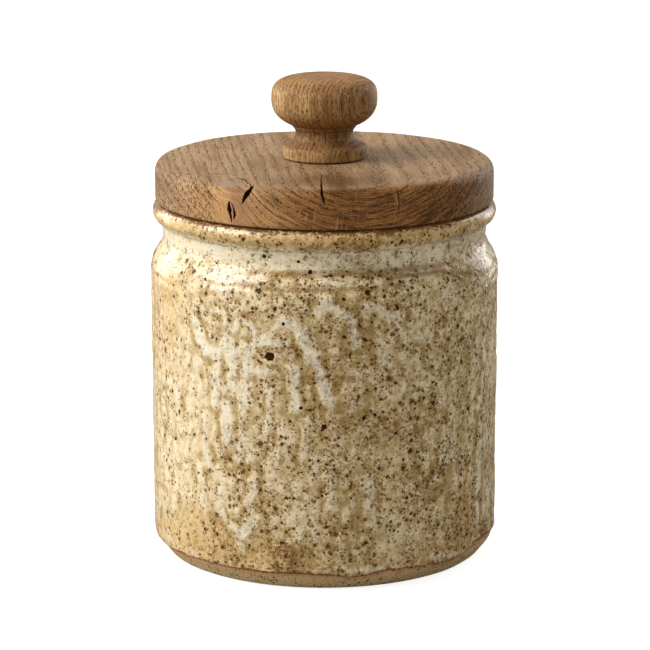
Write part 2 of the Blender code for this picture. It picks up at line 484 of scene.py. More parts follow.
def grow(
    name: str, seed_mesh: bpy.types.Mesh, tree: bpy.types.NodeTree, values: Mapping[str, Feed]
) -> bpy.types.Object:
    """Runs a Geometry Nodes tree on a mesh and keeps the result as a plain mesh.

    Args:
        name: the new object's name.
        seed_mesh: the mesh that the tree starts from.
        tree: the tree.
        values: the tree's inputs, by name.

    Returns:
        The object, with no modifier left on it.
    """
    item = new_object(name, seed_mesh)
    growing = item.modifiers.new(tree.name, "NODES")
    growing.node_group = tree
    for socket in tree.interface.items_tree:
        if socket.in_out == "INPUT" and socket.name in values:
            growing[socket.identifier] = values[socket.name]
    bpy.context.view_layer.update()
    evaluated = item.evaluated_get(bpy.context.evaluated_depsgraph_get())
    plain = bpy.data.meshes.new_from_object(evaluated)
    plain.name = name
    item.modifiers.remove(growing)
    item.data = plain
    bpy.data.meshes.remove(seed_mesh)
    return item


def outline_mesh(name: str, outline: Sequence[Point]) -> bpy.types.Mesh:
    """An outline as loose points in metres, ready to be spun.

    Args:
        name: the mesh's name.
        outline: radius and height of each point, in millimetres.

    Returns:
        The mesh.
    """
    mesh = bpy.data.meshes.new(name + "_outline")
    mesh.from_pydata([(radius * MM, 0.0, height * MM) for radius, height in outline], [], [])
    return mesh


def spin(name: str, outline: Sequence[Point], steps: int) -> bpy.types.Object:
    """An outline in millimetres, spun round the axis."""
    return grow(name, outline_mesh(name, outline), turned_piece_tree(), {"Steps": steps})


def round_the_axis(radius: np.ndarray, angle: np.ndarray, height: np.ndarray) -> np.ndarray:
    """Places from their distance from the axis, angle and height, one row for each."""
    turn = np.radians(angle)
    return np.stack([radius * np.sin(turn), -radius * np.cos(turn), height], axis=1)


def face_outwards(mesh: bpy.types.Mesh) -> None:
    """Turns a closed mesh's faces to point out of it."""
    shape = bmesh.new()
    shape.from_mesh(mesh)
    bmesh.ops.recalc_face_normals(shape, faces=shape.faces)
    if shape.calc_volume(signed=True) < 0.0:
        bmesh.ops.reverse_faces(shape, faces=shape.faces)
    shape.to_mesh(mesh)
    shape.free()


def read_places(mesh: bpy.types.Mesh) -> np.ndarray:
    """The mesh's points in millimetres."""
    flat = np.empty(len(mesh.vertices) * 3)
    mesh.vertices.foreach_get("co", flat)
    return flat.reshape(-1, 3) / MM


def write_places(mesh: bpy.types.Mesh, places: np.ndarray) -> None:
    """Moves the mesh's points to places in millimetres."""
    mesh.vertices.foreach_set("co", (places * MM).ravel())
    mesh.update()


def store(mesh: bpy.types.Mesh, name: str, values: np.ndarray) -> None:
    """Keeps one number for each of the mesh's points."""
    attribute = mesh.attributes.new(name, "FLOAT", "POINT")
    attribute.data.foreach_set("value", values.astype(np.float32))


def bend(centre: Point, size: Point, start: float, end: float, pieces: int) -> list[Point]:
    """Points of an arc.

    Args:
        centre: radius and height of its middle.
        size: its half axes; a negative one mirrors it.
        start: angle of its first point, from the side away from the axis, in degrees.
        end: angle of its last point.
        pieces: how many straight pieces stand for it.

    Returns:
        Radius and height of each point.
    """
    angles = np.radians(np.linspace(start, end, pieces + 1))
    return [(centre[0] + size[0] * cos(a), centre[1] + size[1] * sin(a)) for a in angles]


class Outline:
    """A smooth outline, read by the distance along it."""

    STEP = 0.05
    SLOPE_REACH = 0.2

    def __init__(self, corners: Sequence[Point], softness: float) -> None:
        """Args:
        corners: radius and height of the outline's points, in order.
        softness: the length over which corners are rounded.
        """
        points = np.asarray(corners)
        lengths = np.concatenate([[0.0], np.cumsum(np.hypot(*np.diff(points, axis=0).T))])
        self.length = float(lengths[-1])
        self.steps = np.arange(0.0, self.length, self.STEP)
        reach = max(1, int(softness / self.STEP))
        kernel = np.hanning(2 * reach + 3)[1:-1]
        kernel /= kernel.sum()
        smooth = []
        for values in points.T:
            even = np.interp(self.steps, lengths, values)
            padded = np.pad(even, reach, mode="reflect", reflect_type="odd")
            smooth.append(np.convolve(padded, kernel, mode="valid"))
        self.radius, self.height = smooth

    def read(self, along: np.ndarray) -> tuple[np.ndarray, np.ndarray]:
        """Radius and height at distances along the outline."""
        return np.interp(along, self.steps, self.radius), np.interp(along, self.steps, self.height)

    def outward(self, along: np.ndarray) -> tuple[np.ndarray, np.ndarray]:
        """The direction out of the surface, as its radius and height parts; the outline runs downwards."""
        radius_before, height_before = self.read(along - self.SLOPE_REACH)
        radius_after, height_after = self.read(along + self.SLOPE_REACH)
        run_radius = radius_after - radius_before
        run_height = height_after - height_before
        length = np.maximum(np.hypot(run_radius, run_height), TINY)
        return -run_height / length, run_radius / length

    def along_at_height(self, height: np.ndarray, first: float) -> np.ndarray:
        """Distance along the outline, past first, where it has come down to a height."""
        part = self.steps >= first
        return np.interp(-np.asarray(height), -self.height[part], self.steps[part])


@dataclass(frozen=True)
class Clay:
    """The bare, fired clay at the foot: a painted shadow line under the glaze's lip, flashed below that, then grey.

    The reaches are distances below the glaze's edge between which a colour fades, in millimetres. A grit has a
    spacing in millimetres and a size as a part of it.
    """

    painted_lip_shadow: Colour = tint(92, 52, 36)
    flashed: Colour = tint(184, 126, 84)
    grey: Colour = tint(206, 178, 130)
    grit: Colour = tint(66, 44, 24)
    painted_lip_shadow_reach: Point = (0.2, 0.9)
    flashed_reach: Point = (1.2, 4.2)
    grits: tuple[Point, ...] = ((0.55, 0.4), (1.1, 0.42))
    grit_share: float = 0.8
    roughness: Point = (0.72, 0.9)
    relief: float = 0.12

    def material(self, specks: bpy.types.NodeTree) -> bpy.types.Material:
        """Builds the finish.

        Args:
            specks: the iron specks group.

        Returns:
            The material.
        """
        material, wiring, shader, place = new_finish("bare_clay")
        mottle = wiring.lumps(place, 3.5, 4.0, 0.6)
        below_edge = wiring.attribute("below_edge")
        flash = wiring.math("MULTIPLY_ADD", mottle, 2.4, below_edge)
        colour = wiring.blend(wiring.ramp(flash, *self.flashed_reach, 0.9, 0.0), self.grey, self.flashed)
        # Painted shadow: a thin dark line just under the glaze's rolled lip.
        line = wiring.math("MULTIPLY_ADD", mottle, 0.5, below_edge)
        colour = wiring.blend(wiring.ramp(line, *self.painted_lip_shadow_reach, 0.85, 0.0), colour, self.painted_lip_shadow)
        grain = wiring.lumps(place, 0.5, 3.0, 0.7)
        colour = wiring.blend(0.55, colour, wiring.blend(grain, (0.1, 0.1, 0.1), (0.95, 0.95, 0.95)), "OVERLAY")
        for spacing, size in self.grits:
            values = {
                "Place": place,
                "Spacing": spacing,
                "Size": size,
                "Share": self.grit_share,
                "Edge": 0.4,
                "Unevenness": 0.5,
            }
            grit = wiring.add("ShaderNodeGroup", values, node_tree=specks)
            colour = wiring.blend(wiring.math("MULTIPLY", grit.outputs["Mask"], 0.95), colour, self.grit)
        wiring.feed(shader.inputs["Base Color"], colour)
        wiring.feed(shader.inputs["Roughness"], wiring.ramp(mottle, 0.3, 0.7, *self.roughness))
        wiring.feed(shader.inputs["Normal"], wiring.bump(wiring.math("MULTIPLY", grain, self.relief)))
        return material


@dataclass(frozen=True)
class Speckle:
    """One size of iron speck in the glaze.

    The spacing is in millimetres, the size is a part of it, and the share is how many cells hold a speck.
    """

    spacing: float
    size: float
    share: float
    edge: float
    strength: float


@dataclass(frozen=True)
class Glaze:
    """Colours, specks, gloss and relief of the cream glaze.

    Crowding is how many specks there are where the iron is 0, and how many more where it is 1. The heights of
    patches, drips and grain are in millimetres, and a pit's depth is a part of its specks' spacing.
    """

    thin: Colour = tint(176, 151, 103)
    tan: Colour = tint(211, 188, 143)
    cream: Colour = tint(236, 220, 186)
    milk: Colour = tint(234, 228, 207)
    ochre: Colour = tint(206, 168, 104)
    rust: Colour = tint(106, 60, 20)
    freckle: Colour = tint(134, 103, 48)
    halo: Colour = tint(138, 100, 38)
    pool: Colour = tint(166, 139, 84)
    brown: Colour = tint(100, 60, 8)
    black: Colour = tint(48, 24, 0)
    refraction: float = 1.53
    speckles: tuple[Speckle, ...] = (
        Speckle(0.8, 0.42, 0.75, 0.45, 0.9),
        Speckle(1.4, 0.4, 0.85, 0.35, 1.0),
        Speckle(2.6, 0.29, 0.75, 0.3, 1.0),
    )
    crowding: Point = (0.12, 1.05)
    cluster_size: float = 7.0
    clusters: Point = (0.1, 1.6)
    halo_strength: float = 0.55
    unevenness: float = 0.55
    gloss: Point = (0.1, 0.26)
    patch_height: float = 0.6
    drip_height: float = 0.48
    grain_height: float = 0.12
    pit_depth: float = 0.05

    def fields(self, wiring: Wiring, place: Feed) -> dict[str, Socket]:
        """The glaze's uneven thickness at several sizes.

        Args:
            wiring: the material's wiring.
            place: object coordinates in millimetres.

        Returns:
            Lumps of patch, drip and grain size, upper, 1 above the shoulder, and thickness, the sum of the lumps
            with what is stored on the mesh, about 0.5.
        """
        bent = wiring.vector("ADD", place, wiring.vector("SCALE", wiring.wander(place, 5.0), 4.0))
        sagging = wiring.vector("MULTIPLY", bent, (1.0, 1.0, 0.6))
        patch = wiring.lumps(sagging, 6.0)
        drip = wiring.lumps(sagging, 2.4)
        grain = wiring.lumps(place, 0.75, 2.0, 0.6)
        upper = wiring.ramp(wiring.split(place)[2], 99.0, 105.0)
        streak = wiring.lumps(wiring.vector("MULTIPLY", bent, (0.16, 0.16, 1.0)), 1.9, 3.0, 0.6)
        drip = wiring.math("MULTIPLY_ADD", wiring.math("SUBTRACT", streak, drip), upper, drip)
        thickness = wiring.math("MULTIPLY_ADD", patch, 0.46, wiring.math("MULTIPLY", drip, 0.42))
        thickness = wiring.math("MULTIPLY_ADD", grain, 0.12, thickness)
        thickness = wiring.math("MULTIPLY_ADD", wiring.attribute("milk"), 0.2, thickness)
        thickness = wiring.math("MULTIPLY_ADD", wiring.attribute("moat"), -0.1, thickness)
        thickness = wiring.math("MULTIPLY_ADD", wiring.attribute("iron"), -0.05, thickness)
        return {"patch": patch, "drip": drip, "grain": grain, "upper": upper, "thickness": thickness}

    def ground(self, wiring: Wiring, place: Feed, fields: Mapping[str, Socket]) -> Socket:
        """The glaze's colour without its specks.

        Args:
            wiring: the material's wiring.
            place: object coordinates in millimetres.
            fields: the glaze's thickness.

        Returns:
            The colour.
        """
        thickness = fields["thickness"]
        colour = wiring.blend(wiring.ramp(thickness, 0.32, 0.41), self.thin, self.tan)
        colour = wiring.blend(wiring.ramp(thickness, 0.38, 0.52), colour, self.cream)
        colour = wiring.blend(wiring.ramp(thickness, 0.57, 0.68, 0.0, 0.8), colour, self.milk)
        warm = wiring.math("MULTIPLY_ADD", wiring.attribute("ochre"), 0.34, fields["patch"])
        colour = wiring.blend(wiring.ramp(warm, 0.56, 0.95, 0.0, 0.68), colour, self.ochre)
        iron_here = wiring.attribute("iron")
        pool = wiring.math("MULTIPLY_ADD", iron_here, 0.06, wiring.lumps(place, 3.6, 3.0, 0.6))
        pool = wiring.math("MULTIPLY_ADD", wiring.attribute("moat"), 0.2, pool)
        colour = wiring.blend(wiring.ramp(pool, 0.5, 0.78, 0.0, 0.6), colour, self.pool)
        freckle = wiring.math("MULTIPLY_ADD", iron_here, 0.08, wiring.lumps(place, 1.7, 4.0, 0.7))
        freckled = wiring.ramp(iron_here, 0.1, 1.0, 0.12, 0.75)
        freckled = wiring.math("MULTIPLY", wiring.ramp(freckle, 0.54, 0.74), freckled)
        colour = wiring.blend(freckled, colour, self.freckle)
        uneven = wiring.math("SUBTRACT", fields["drip"], 0.5)
        run = wiring.math("MULTIPLY_ADD", uneven, 0.5, wiring.attribute("milk"))
        colour = wiring.blend(wiring.ramp(run, 0.0, 1.1, 0.0, 0.55), colour, self.milk)
        colour = wiring.blend(wiring.math("MULTIPLY", wiring.attribute("crease"), 0.8), colour, self.brown)
        broken = wiring.lumps(wiring.vector("MULTIPLY", place, (0.7, 0.7, 1.0)), 1.0, 4.0, 0.75)
        iron = wiring.math("MULTIPLY_ADD", wiring.math("SUBTRACT", broken, 0.5), 3.0, wiring.attribute("rust"))
        return wiring.blend(wiring.ramp(iron, 0.45, 0.8, 0.0, 0.92), colour, self.rust)

    def material(self, specks: bpy.types.NodeTree) -> bpy.types.Material:
        """Builds the finish.

        Args:
            specks: the iron specks group.

        Returns:
            The material.
        """
        material, wiring, shader, place = new_finish("speckled_glaze")
        fields = self.fields(wiring, place)
        colour = self.ground(wiring, place, fields)
        clean = wiring.ramp(wiring.attribute("milk"), 0.15, 0.8, 1.0, 0.4)
        crowd = wiring.math("MULTIPLY_ADD", wiring.attribute("iron"), self.crowding[1], self.crowding[0])
        cluster = wiring.ramp(wiring.lumps(place, self.cluster_size, 3.0, 0.7), 0.38, 0.62, *self.clusters)
        crowd = wiring.math("MULTIPLY", crowd, cluster)
        pits: Feed = 0.0
        for number, speckle in enumerate(self.speckles):
            values = {
                "Place": wiring.vector("ADD", place, (37.0 * number, 11.0 * number, 5.0 * number)),
                "Spacing": speckle.spacing,
                "Size": speckle.size,
                "Share": wiring.math("MULTIPLY", crowd, speckle.share),
                "Edge": speckle.edge,
                "Unevenness": self.unevenness,
            }
            node = wiring.add("ShaderNodeGroup", values, node_tree=specks)
            strength = wiring.math("MULTIPLY", clean, speckle.strength)
            halo = wiring.math("MULTIPLY", node.outputs["Halo"], strength)
            colour = wiring.blend(wiring.math("MULTIPLY", halo, self.halo_strength), colour, self.halo)
            mask = wiring.math("MULTIPLY", node.outputs["Mask"], strength)
            shade = wiring.ramp(node.outputs["Shade"], 0.2, 0.9)
            colour = wiring.blend(mask, colour, wiring.blend(shade, self.brown, self.black))
            pits = wiring.math("MULTIPLY_ADD", mask, self.pit_depth * speckle.spacing, pits)
        wiring.feed(shader.inputs["Base Color"], colour)
        wiring.feed(shader.inputs["IOR"], self.refraction)
        gloss = wiring.lumps(place, 2.4, 3.0)
        wiring.feed(shader.inputs["Roughness"], wiring.ramp(gloss, 0.3, 0.75, *self.gloss))
        height = wiring.math("MULTIPLY", fields["drip"], self.drip_height)
        height = wiring.math("MULTIPLY_ADD", fields["patch"], self.patch_height, height)
        height = wiring.math("MULTIPLY_ADD", fields["grain"], self.grain_height, height)
        height = wiring.math("MULTIPLY", height, wiring.ramp(fields["upper"], 0.0, 1.0, 1.0, 0.5))
        wiring.feed(shader.inputs["Normal"], wiring.bump(wiring.math("SUBTRACT", height, pits)))
        return material


@dataclass(frozen=True)
class IronBlister:
    """The dark finish of iron that has boiled through the glaze."""

    dark: Colour = tint(44, 22, 8)
    edge: Colour = tint(68, 38, 14)
    roughness: Point = (0.4, 0.6)
    specular: float = 0.03

    def material(self) -> bpy.types.Material:
        """Builds the finish."""
        material, wiring, shader, place = new_finish("iron_blister")
        tone = wiring.lumps(place, 1.3, 2.0)
        colour = wiring.blend(wiring.ramp(tone, 0.4, 0.6), self.edge, self.dark)
        wiring.feed(shader.inputs["Base Color"], colour)
        wiring.feed(shader.inputs["Roughness"], wiring.ramp(tone, 0.3, 0.7, *self.roughness))
        wiring.feed(shader.inputs["Specular IOR Level"], self.specular)
        return material


@dataclass(frozen=True)
class Knot:
    """Where a branch grew through the lid's front edge: across, height and reach of the swirl round it."""

    across: float
    height: float
    reach: float


@dataclass(frozen=True)
class Flecks:
    """Short dark dashes on a turned side.

    The lean is in degrees from upright, the spacings across and along are in millimetres, and the two reaches
    are the distances across from the axis between which the flecks fade in, on the left and on the right.
    """

    lean: float
    across: float
    along: float
    left: Point
    right: Point
    strength: float


@dataclass(frozen=True)
class WoodShade:
    """A soft darker area in the wood's colour, a darker tone or painted shade: its middle and half sizes in
    millimetres, and its strength.
    """

    middle: tuple[float, float, float]
    half_size: tuple[float, float, float]
    strength: float


@dataclass(frozen=True)
class Oak:
    """Oiled oak: its colours, and how a board lies in the tree.

    The turn brings the fibre to Z, and the pith offset then brings the pith to the middle.
    """

    name: str
    early: Colour
    late: Colour
    end_early: Colour
    end_late: Colour
    pore: Colour
    ray: Colour
    turn: tuple[float, float, float]
    pith: tuple[float, float, float]
    ring_width: float = 2.4
    pore_length: float = 5.0
    pore_spacing: float = 0.68
    pore_size: float = 0.46
    wander: float = 2.0
    ring_strength: tuple[float, float] = (0.35, 0.36)
    roughness: float = 0.5
    ring: Colour = tint(118, 82, 48)
    blush: Colour = tint(168, 122, 90)
    chip_grey: Colour = tint(144, 132, 122)
    pale: Optional[Colour] = None
    knot: Optional[Knot] = None
    long_pore: Colour = tint(84, 48, 18)
    dark_tone_and_shade: Colour = (0.42, 0.3, 0.2)
    shades: tuple[WoodShade, ...] = ()
    flecks: Optional[Flecks] = None

    def fleck_mask(self, wiring: Wiring, place: Feed, normal: Feed) -> Socket:
        """Where the flecks are.

        Args:
            wiring: the material's wiring.
            place: object coordinates in millimetres.
            normal: the surface's normal.

        Returns:
            The mask, from 0 to the flecks' strength.
        """
        x, y, z = wiring.split(place)
        radius = wiring.vector("LENGTH", wiring.join(x, y, 0.0))
        arc = wiring.math("MULTIPLY", wiring.math("ARCTAN2", x, wiring.math("MULTIPLY", y, -1.0)), radius)
        lean = radians(self.flecks.lean)
        over = wiring.math("MULTIPLY_ADD", arc, cos(lean), wiring.math("MULTIPLY", z, sin(lean)))
        up = wiring.math("MULTIPLY_ADD", z, cos(lean), wiring.math("MULTIPLY", arc, -sin(lean)))
        laid = wiring.join(
            wiring.math("DIVIDE", over, self.flecks.across), wiring.math("DIVIDE", up, self.flecks.along), 0.0
        )
        laid = wiring.vector("ADD", laid, wiring.vector("SCALE", wiring.wander(place, 1.2), 0.8))
        cells = wiring.add("ShaderNodeTexVoronoi", {"Vector": laid, "Scale": 1.0}, voronoi_dimensions="2D")
        dash = wiring.ramp(cells.outputs["Distance"], 0.22, 0.42, 1.0, 0.0)
        uneven = wiring.ramp(wiring.split(cells.outputs["Color"])[0], 0.0, 0.8)
        sides = wiring.math("ADD", wiring.ramp(x, *self.flecks.left), wiring.ramp(x, *self.flecks.right))
        upright = wiring.ramp(wiring.math("ABSOLUTE", wiring.split(normal)[2]), 0.75, 0.97, 1.0, 0.0)
        dash = wiring.math("MULTIPLY", dash, uneven)
        mask = wiring.math("MULTIPLY", dash, wiring.math("MULTIPLY", sides, upright))
        return wiring.math("MULTIPLY", mask, self.flecks.strength)

    def round_the_knot(self, wiring: Wiring, place: Feed) -> tuple[Socket, Socket]:
        """Bends the grain round the knot.

        Args:
            wiring: the material's wiring.
            place: object coordinates in millimetres.

        Returns:
            The bent place, and the knot's own mask.
        """
        x, y, z = wiring.split(wiring.vector("SUBTRACT", place, (self.knot.across, 0.0, self.knot.height)))
        side = wiring.join(x, 0.0, wiring.math("MULTIPLY", z, 0.8))
        share = wiring.math("DIVIDE", wiring.vector("LENGTH", side), self.knot.reach)
        front = wiring.ramp(y, -50.0, -34.0, 1.0, 0.0)
        fall = wiring.math("EXPONENT", wiring.math("MULTIPLY", wiring.math("POWER", share, 2.0), -1.0))
        push = wiring.math("MULTIPLY", wiring.math("MULTIPLY", fall, front), -0.5 * self.knot.reach)
        away = wiring.vector("SCALE", wiring.vector("NORMALIZE", side), push)
        mask = wiring.math("MULTIPLY", wiring.ramp(share, 0.7, 1.5, 1.0, 0.0), front)
        return wiring.vector("ADD", place, away), mask

    def material(self, grain: bpy.types.NodeTree) -> bpy.types.Material:
        """Builds the finish.

        Args:
            grain: the oak grain group.

        Returns:
            The material.
        """
        material, wiring, shader, place = new_finish(self.name)
        plain_place = place
        across = wiring.split(place)[0]
        swirl: Feed = 0.0
        if self.knot:
            place, swirl = self.round_the_knot(wiring, place)
        turned = tuple(radians(a) for a in self.turn)
        board = wiring.add("ShaderNodeMapping", {"Vector": place, "Rotation": turned, "Location": self.pith})
        values = {
            "Place": board.outputs[0],
            "Ring Width": self.ring_width,
            "Pore Length": self.pore_length,
            "Pore Spacing": self.pore_spacing,
            "Pore Size": self.pore_size,
            "Wander": self.wander,
        }
        wood = wiring.add("ShaderNodeGroup", values, node_tree=grain)
        fibre = Euler(turned).to_matrix().transposed() @ Vector((0.0, 0.0, 1.0))
        normal = wiring.add("ShaderNodeNewGeometry").outputs["Normal"]
        facing = wiring.math("ABSOLUTE", wiring.vector("DOT_PRODUCT", normal, tuple(fibre)))
        end = wiring.ramp(facing, 0.3, 0.75)

        drift = wiring.math("MULTIPLY", wood.outputs["Drift"], 0.45)
        tone = wiring.math("MULTIPLY_ADD", wood.outputs["Fibre"], 0.55, drift)
        long_grain = wiring.blend(wiring.ramp(tone, 0.4, 0.6), self.late, self.early)
        end_tone = wiring.math("MULTIPLY_ADD", wood.outputs["Band"], 0.6, wiring.math("MULTIPLY", tone, 0.4))
        end_grain = wiring.blend(wiring.ramp(end_tone, 0.4, 0.6), self.end_late, self.end_early)
        if self.pale:
            paler = wiring.ramp(across, -30.0, -3.0, 1.0, 0.0)
            pale = wiring.blend(wiring.ramp(end_tone, 0.4, 0.6), self.late, self.pale)
            end_grain = wiring.blend(paler, end_grain, pale)
            knotty = wiring.blend(wiring.ramp(across, -34.0, -30.0), self.pale, self.blush)
            knotty = wiring.blend(wiring.ramp(end_tone, 0.42, 0.6, 0.5, 0.0), knotty, self.late)
            end_grain = wiring.blend(wiring.math("MULTIPLY", swirl, 0.85), end_grain, knotty)
        colour = wiring.blend(end, long_grain, end_grain)
        calm = wiring.math("MULTIPLY_ADD", swirl, -0.85, 1.0)
        ring_share = wiring.math("MULTIPLY", wiring.ramp(end, 0.0, 1.0, *self.ring_strength), calm)
        ring_colour = wiring.blend(end, self.ring, self.pore)
        colour = wiring.blend(wiring.math("MULTIPLY", wood.outputs["Ring"], ring_share), colour, ring_colour)
        rays = wiring.math("MULTIPLY", wood.outputs["Ray"], wiring.math("MULTIPLY", end, 0.55))
        pores = wiring.math("MULTIPLY", wood.outputs["Pore"], wiring.ramp(end, 0.0, 1.0, 0.8, 0.85))
        pores = wiring.math("MULTIPLY", pores, calm)
        colour = wiring.blend(pores, colour, wiring.blend(end, self.long_pore, self.pore))
        colour = wiring.blend(rays, colour, self.ray)
        if self.flecks:
            colour = wiring.blend(self.fleck_mask(wiring, plain_place, normal), colour, self.pore)
        # Darker areas: darker tones of the wood, and painted shade such as the knob's waist.
        for shade in self.shades:
            away = wiring.vector("SUBTRACT", plain_place, shade.middle)
            away = wiring.vector("DIVIDE", away, shade.half_size)
            amount = wiring.ramp(wiring.vector("LENGTH", away), 0.3, 1.5, shade.strength, 0.0)
            colour = wiring.blend(amount, colour, self.dark_tone_and_shade, "MULTIPLY")
        # The chipped facet is tinted grey-blue.
        colour = wiring.blend(wiring.math("MULTIPLY", wiring.attribute("chip"), 0.7), colour, self.chip_grey)
        wiring.feed(shader.inputs["Base Color"], colour)
        wiring.feed(shader.inputs["Specular IOR Level"], 0.14)
        rough = wiring.math("MULTIPLY_ADD", wood.outputs["Fibre"], 0.18, self.roughness - 0.09)
        wiring.feed(shader.inputs["Roughness"], rough)
        wiring.feed(shader.inputs["Normal"], wiring.bump(wood.outputs["Height"]))
        return material


@dataclass(frozen=True)
class GlazeRun:
    """A line on the glaze, a milky run or a dark crease: its path of angles and heights, width and strength."""

    path: tuple[Point, ...]
    width: float
    strength: float = 1.0


@dataclass(frozen=True)
class Stain:
    """A soft area of ochre or rust: angle, height, half sizes in millimetres and strength."""

    angle: float
    height: float
    half_width: float
    half_height: float
    strength: float


@dataclass(frozen=True)
class IronSpot:
    """One large iron spot: angle, height and diameter."""

    angle: float
    height: float
    diameter: float


RUNS = (
    GlazeRun(((-46.8, 94.2), (-44.5, 90.0), (-43.2, 86.0), (-41.0, 83.5), (-38.5, 83.5)), 2.6, 1.0),
    GlazeRun(((-32.1, 88.5), (-30.9, 85.0), (-30.6, 80.9), (-30.6, 76.3), (-31.1, 72.0)), 3.6, 0.9),
    GlazeRun(((-25.8, 87.6), (-25.9, 83.0), (-25.9, 77.3)), 2.8, 1.0),
    GlazeRun(((-36.9, 72.5), (-37.4, 69.2), (-37.0, 65.6)), 3.2, 0.85),
    GlazeRun(((-25.6, 72.7), (-26.3, 67.3)), 3.4, 0.8),
    GlazeRun(((-33.0, 64.2), (-32.3, 60.0), (-32.0, 52.8)), 3.4, 0.9),
    GlazeRun(((-22.4, 88.9), (-18.0, 89.3), (-14.4, 88.8)), 2.8, 0.95),
    GlazeRun(((-21.4, 78.5), (-15.7, 78.7)), 2.0, 0.8),
    GlazeRun(((-12.5, 97.0), (-8.9, 95.2), (-6.7, 92.2)), 3.4, 0.85),
    GlazeRun(((-6.7, 92.2), (-4.2, 85.9), (-1.7, 80.0), (0.2, 74.3), (1.8, 69.4)), 3.4, 1.1),
    GlazeRun(((-9.3, 80.5), (-9.6, 74.8), (-9.0, 66.7)), 3.2, 0.9),
    GlazeRun(((8.3, 98.4), (9.0, 93.8), (9.9, 88.5)), 2.8, 0.85),
    GlazeRun(((-2.0, 101.0), (1.7, 104.1), (4.9, 100.6), (8.6, 97.0)), 3.0, 0.7),
    GlazeRun(((20.3, 99.0), (24.4, 97.2)), 3.2, 0.7),
    GlazeRun(((-22.6, 41.9), (-23.0, 36.1), (-25.1, 30.1)), 2.6, 0.6),
    GlazeRun(((-36.5, 31.4), (-36.2, 26.4)), 3.6, 0.5),
    GlazeRun(((-35.0, 24.8), (-31.8, 21.7), (-28.1, 18.0)), 2.6, 0.6),
    GlazeRun(((-23.4, 26.3), (-25.9, 21.9), (-27.8, 16.6), (-27.8, 14.0)), 3.2, 0.8),
    GlazeRun(((13.9, 40.7), (14.6, 33.4), (15.0, 24.3)), 3.4, 0.6),
    GlazeRun(((1.9, 120.4), (8.6, 119.2), (19.1, 118.9)), 3.6, 0.5),
    GlazeRun(
        (
            (-29.8, 92.0), (-28.3, 95.0), (-25.4, 96.4), (-23.0, 94.2),
            (-22.7, 89.7), (-23.4, 83.2), (-23.8, 78.6),
        ),
        1.9,
        0.8,
    ),
    GlazeRun(((-31.3, 92.9), (-32.7, 96.2), (-35.5, 97.9), (-37.9, 98.3)), 1.7, 0.6),
    GlazeRun(((-14.3, 95.3), (-17.3, 91.9), (-20.6, 88.8)), 1.8, 0.7),
    GlazeRun(((-1.7, 98.9), (-0.7, 101.0), (1.7, 102.0), (4.2, 99.9)), 1.5, 0.7),
    GlazeRun(((8.7, 79.4), (11.2, 77.9), (14.5, 79.5)), 1.7, 0.55),
    GlazeRun(((-33.2, 88.4), (-35.6, 83.7), (-36.9, 78.5), (-37.3, 73.5)), 1.8, 0.6),
    GlazeRun(((13.1, 103.4), (17.7, 101.0), (21.7, 97.5), (24.5, 93.0), (26.3, 88.6)), 2.2, 0.55),
    GlazeRun(((-27.8, 67.8), (-26.7, 61.5), (-27.5, 53.5), (-28.7, 45.4)), 2.2, 0.6),
    GlazeRun(((-41.3, 60.2), (-41.8, 51.0), (-40.6, 40.4)), 2.4, 0.6),
    GlazeRun(((-18.0, 73.2), (-17.7, 65.4), (-18.8, 57.4)), 1.9, 0.5),
    GlazeRun(((26.2, 90.3), (35.2, 89.1)), 3.2, 0.5),
    GlazeRun(((30.7, 84.5), (30.7, 78.8)), 3.0, 0.45),
    GlazeRun(((-1.4, 110.2), (8.3, 110.1), (19.9, 109.2)), 1.9, 0.45),
    GlazeRun(((-60.0, 117.5), (-40.0, 118.5), (-22.0, 117.0), (-6.0, 118.2)), 3.8, 0.6),
    GlazeRun(((24.0, 118.4), (38.0, 117.2), (56.0, 118.0)), 2.6, 0.5),
    GlazeRun(((5.3, 8.6), (12.1, 7.9), (19.5, 8.6)), 1.5, 0.6),
    GlazeRun(((35.3, 9.6), (43.2, 8.2), (52.1, 7.4)), 1.7, 0.5),
)

CREASES = (
    GlazeRun(
        ((21.0, 110.9), (42.0, 110.9), (44.9, 110.2), (46.7, 108.3), (49.8, 109.1), (67.0, 107.2)), 0.75, 0.85
    ),
    GlazeRun(((-10.5, 16.4), (-10.3, 12.0), (-10.5, 9.2)), 1.1, 1.0),
    GlazeRun(((-12.0, 113.4), (4.0, 113.0), (20.0, 113.2), (44.0, 112.6)), 1.1, 0.6),
    GlazeRun(((-30.0, 108.6), (-12.0, 108.0), (6.0, 108.2)), 0.7, 0.5),
)

RUST_PATCHES = (
    Stain(-14.0, 14.5, 5.5, 5.0, 0.7),
    Stain(47.0, 16.0, 6.5, 8.0, 0.6),
    Stain(29.5, 9.4, 5.5, 1.8, 0.6),
    Stain(-2.0, 10.0, 10.0, 2.2, 0.4),
    Stain(66.0, 12.0, 7.0, 6.0, 0.9),
)

STAINS = (
    Stain(12.0, 125.0, 14.0, 3.0, 1.0),
    Stain(-62.0, 104.0, 14.0, 7.0, 1.0),
    Stain(-56.0, 88.0, 8.0, 14.0, 0.9),
    Stain(-45.0, 18.0, 20.0, 10.0, 1.0),
    Stain(-14.0, 14.0, 10.0, 7.0, 0.8),
    Stain(-2.0, 70.0, 14.0, 16.0, 0.35),
    Stain(52.0, 20.0, 8.0, 14.0, 0.8),
    Stain(12.0, 110.0, 9.0, 4.0, 0.6),
)

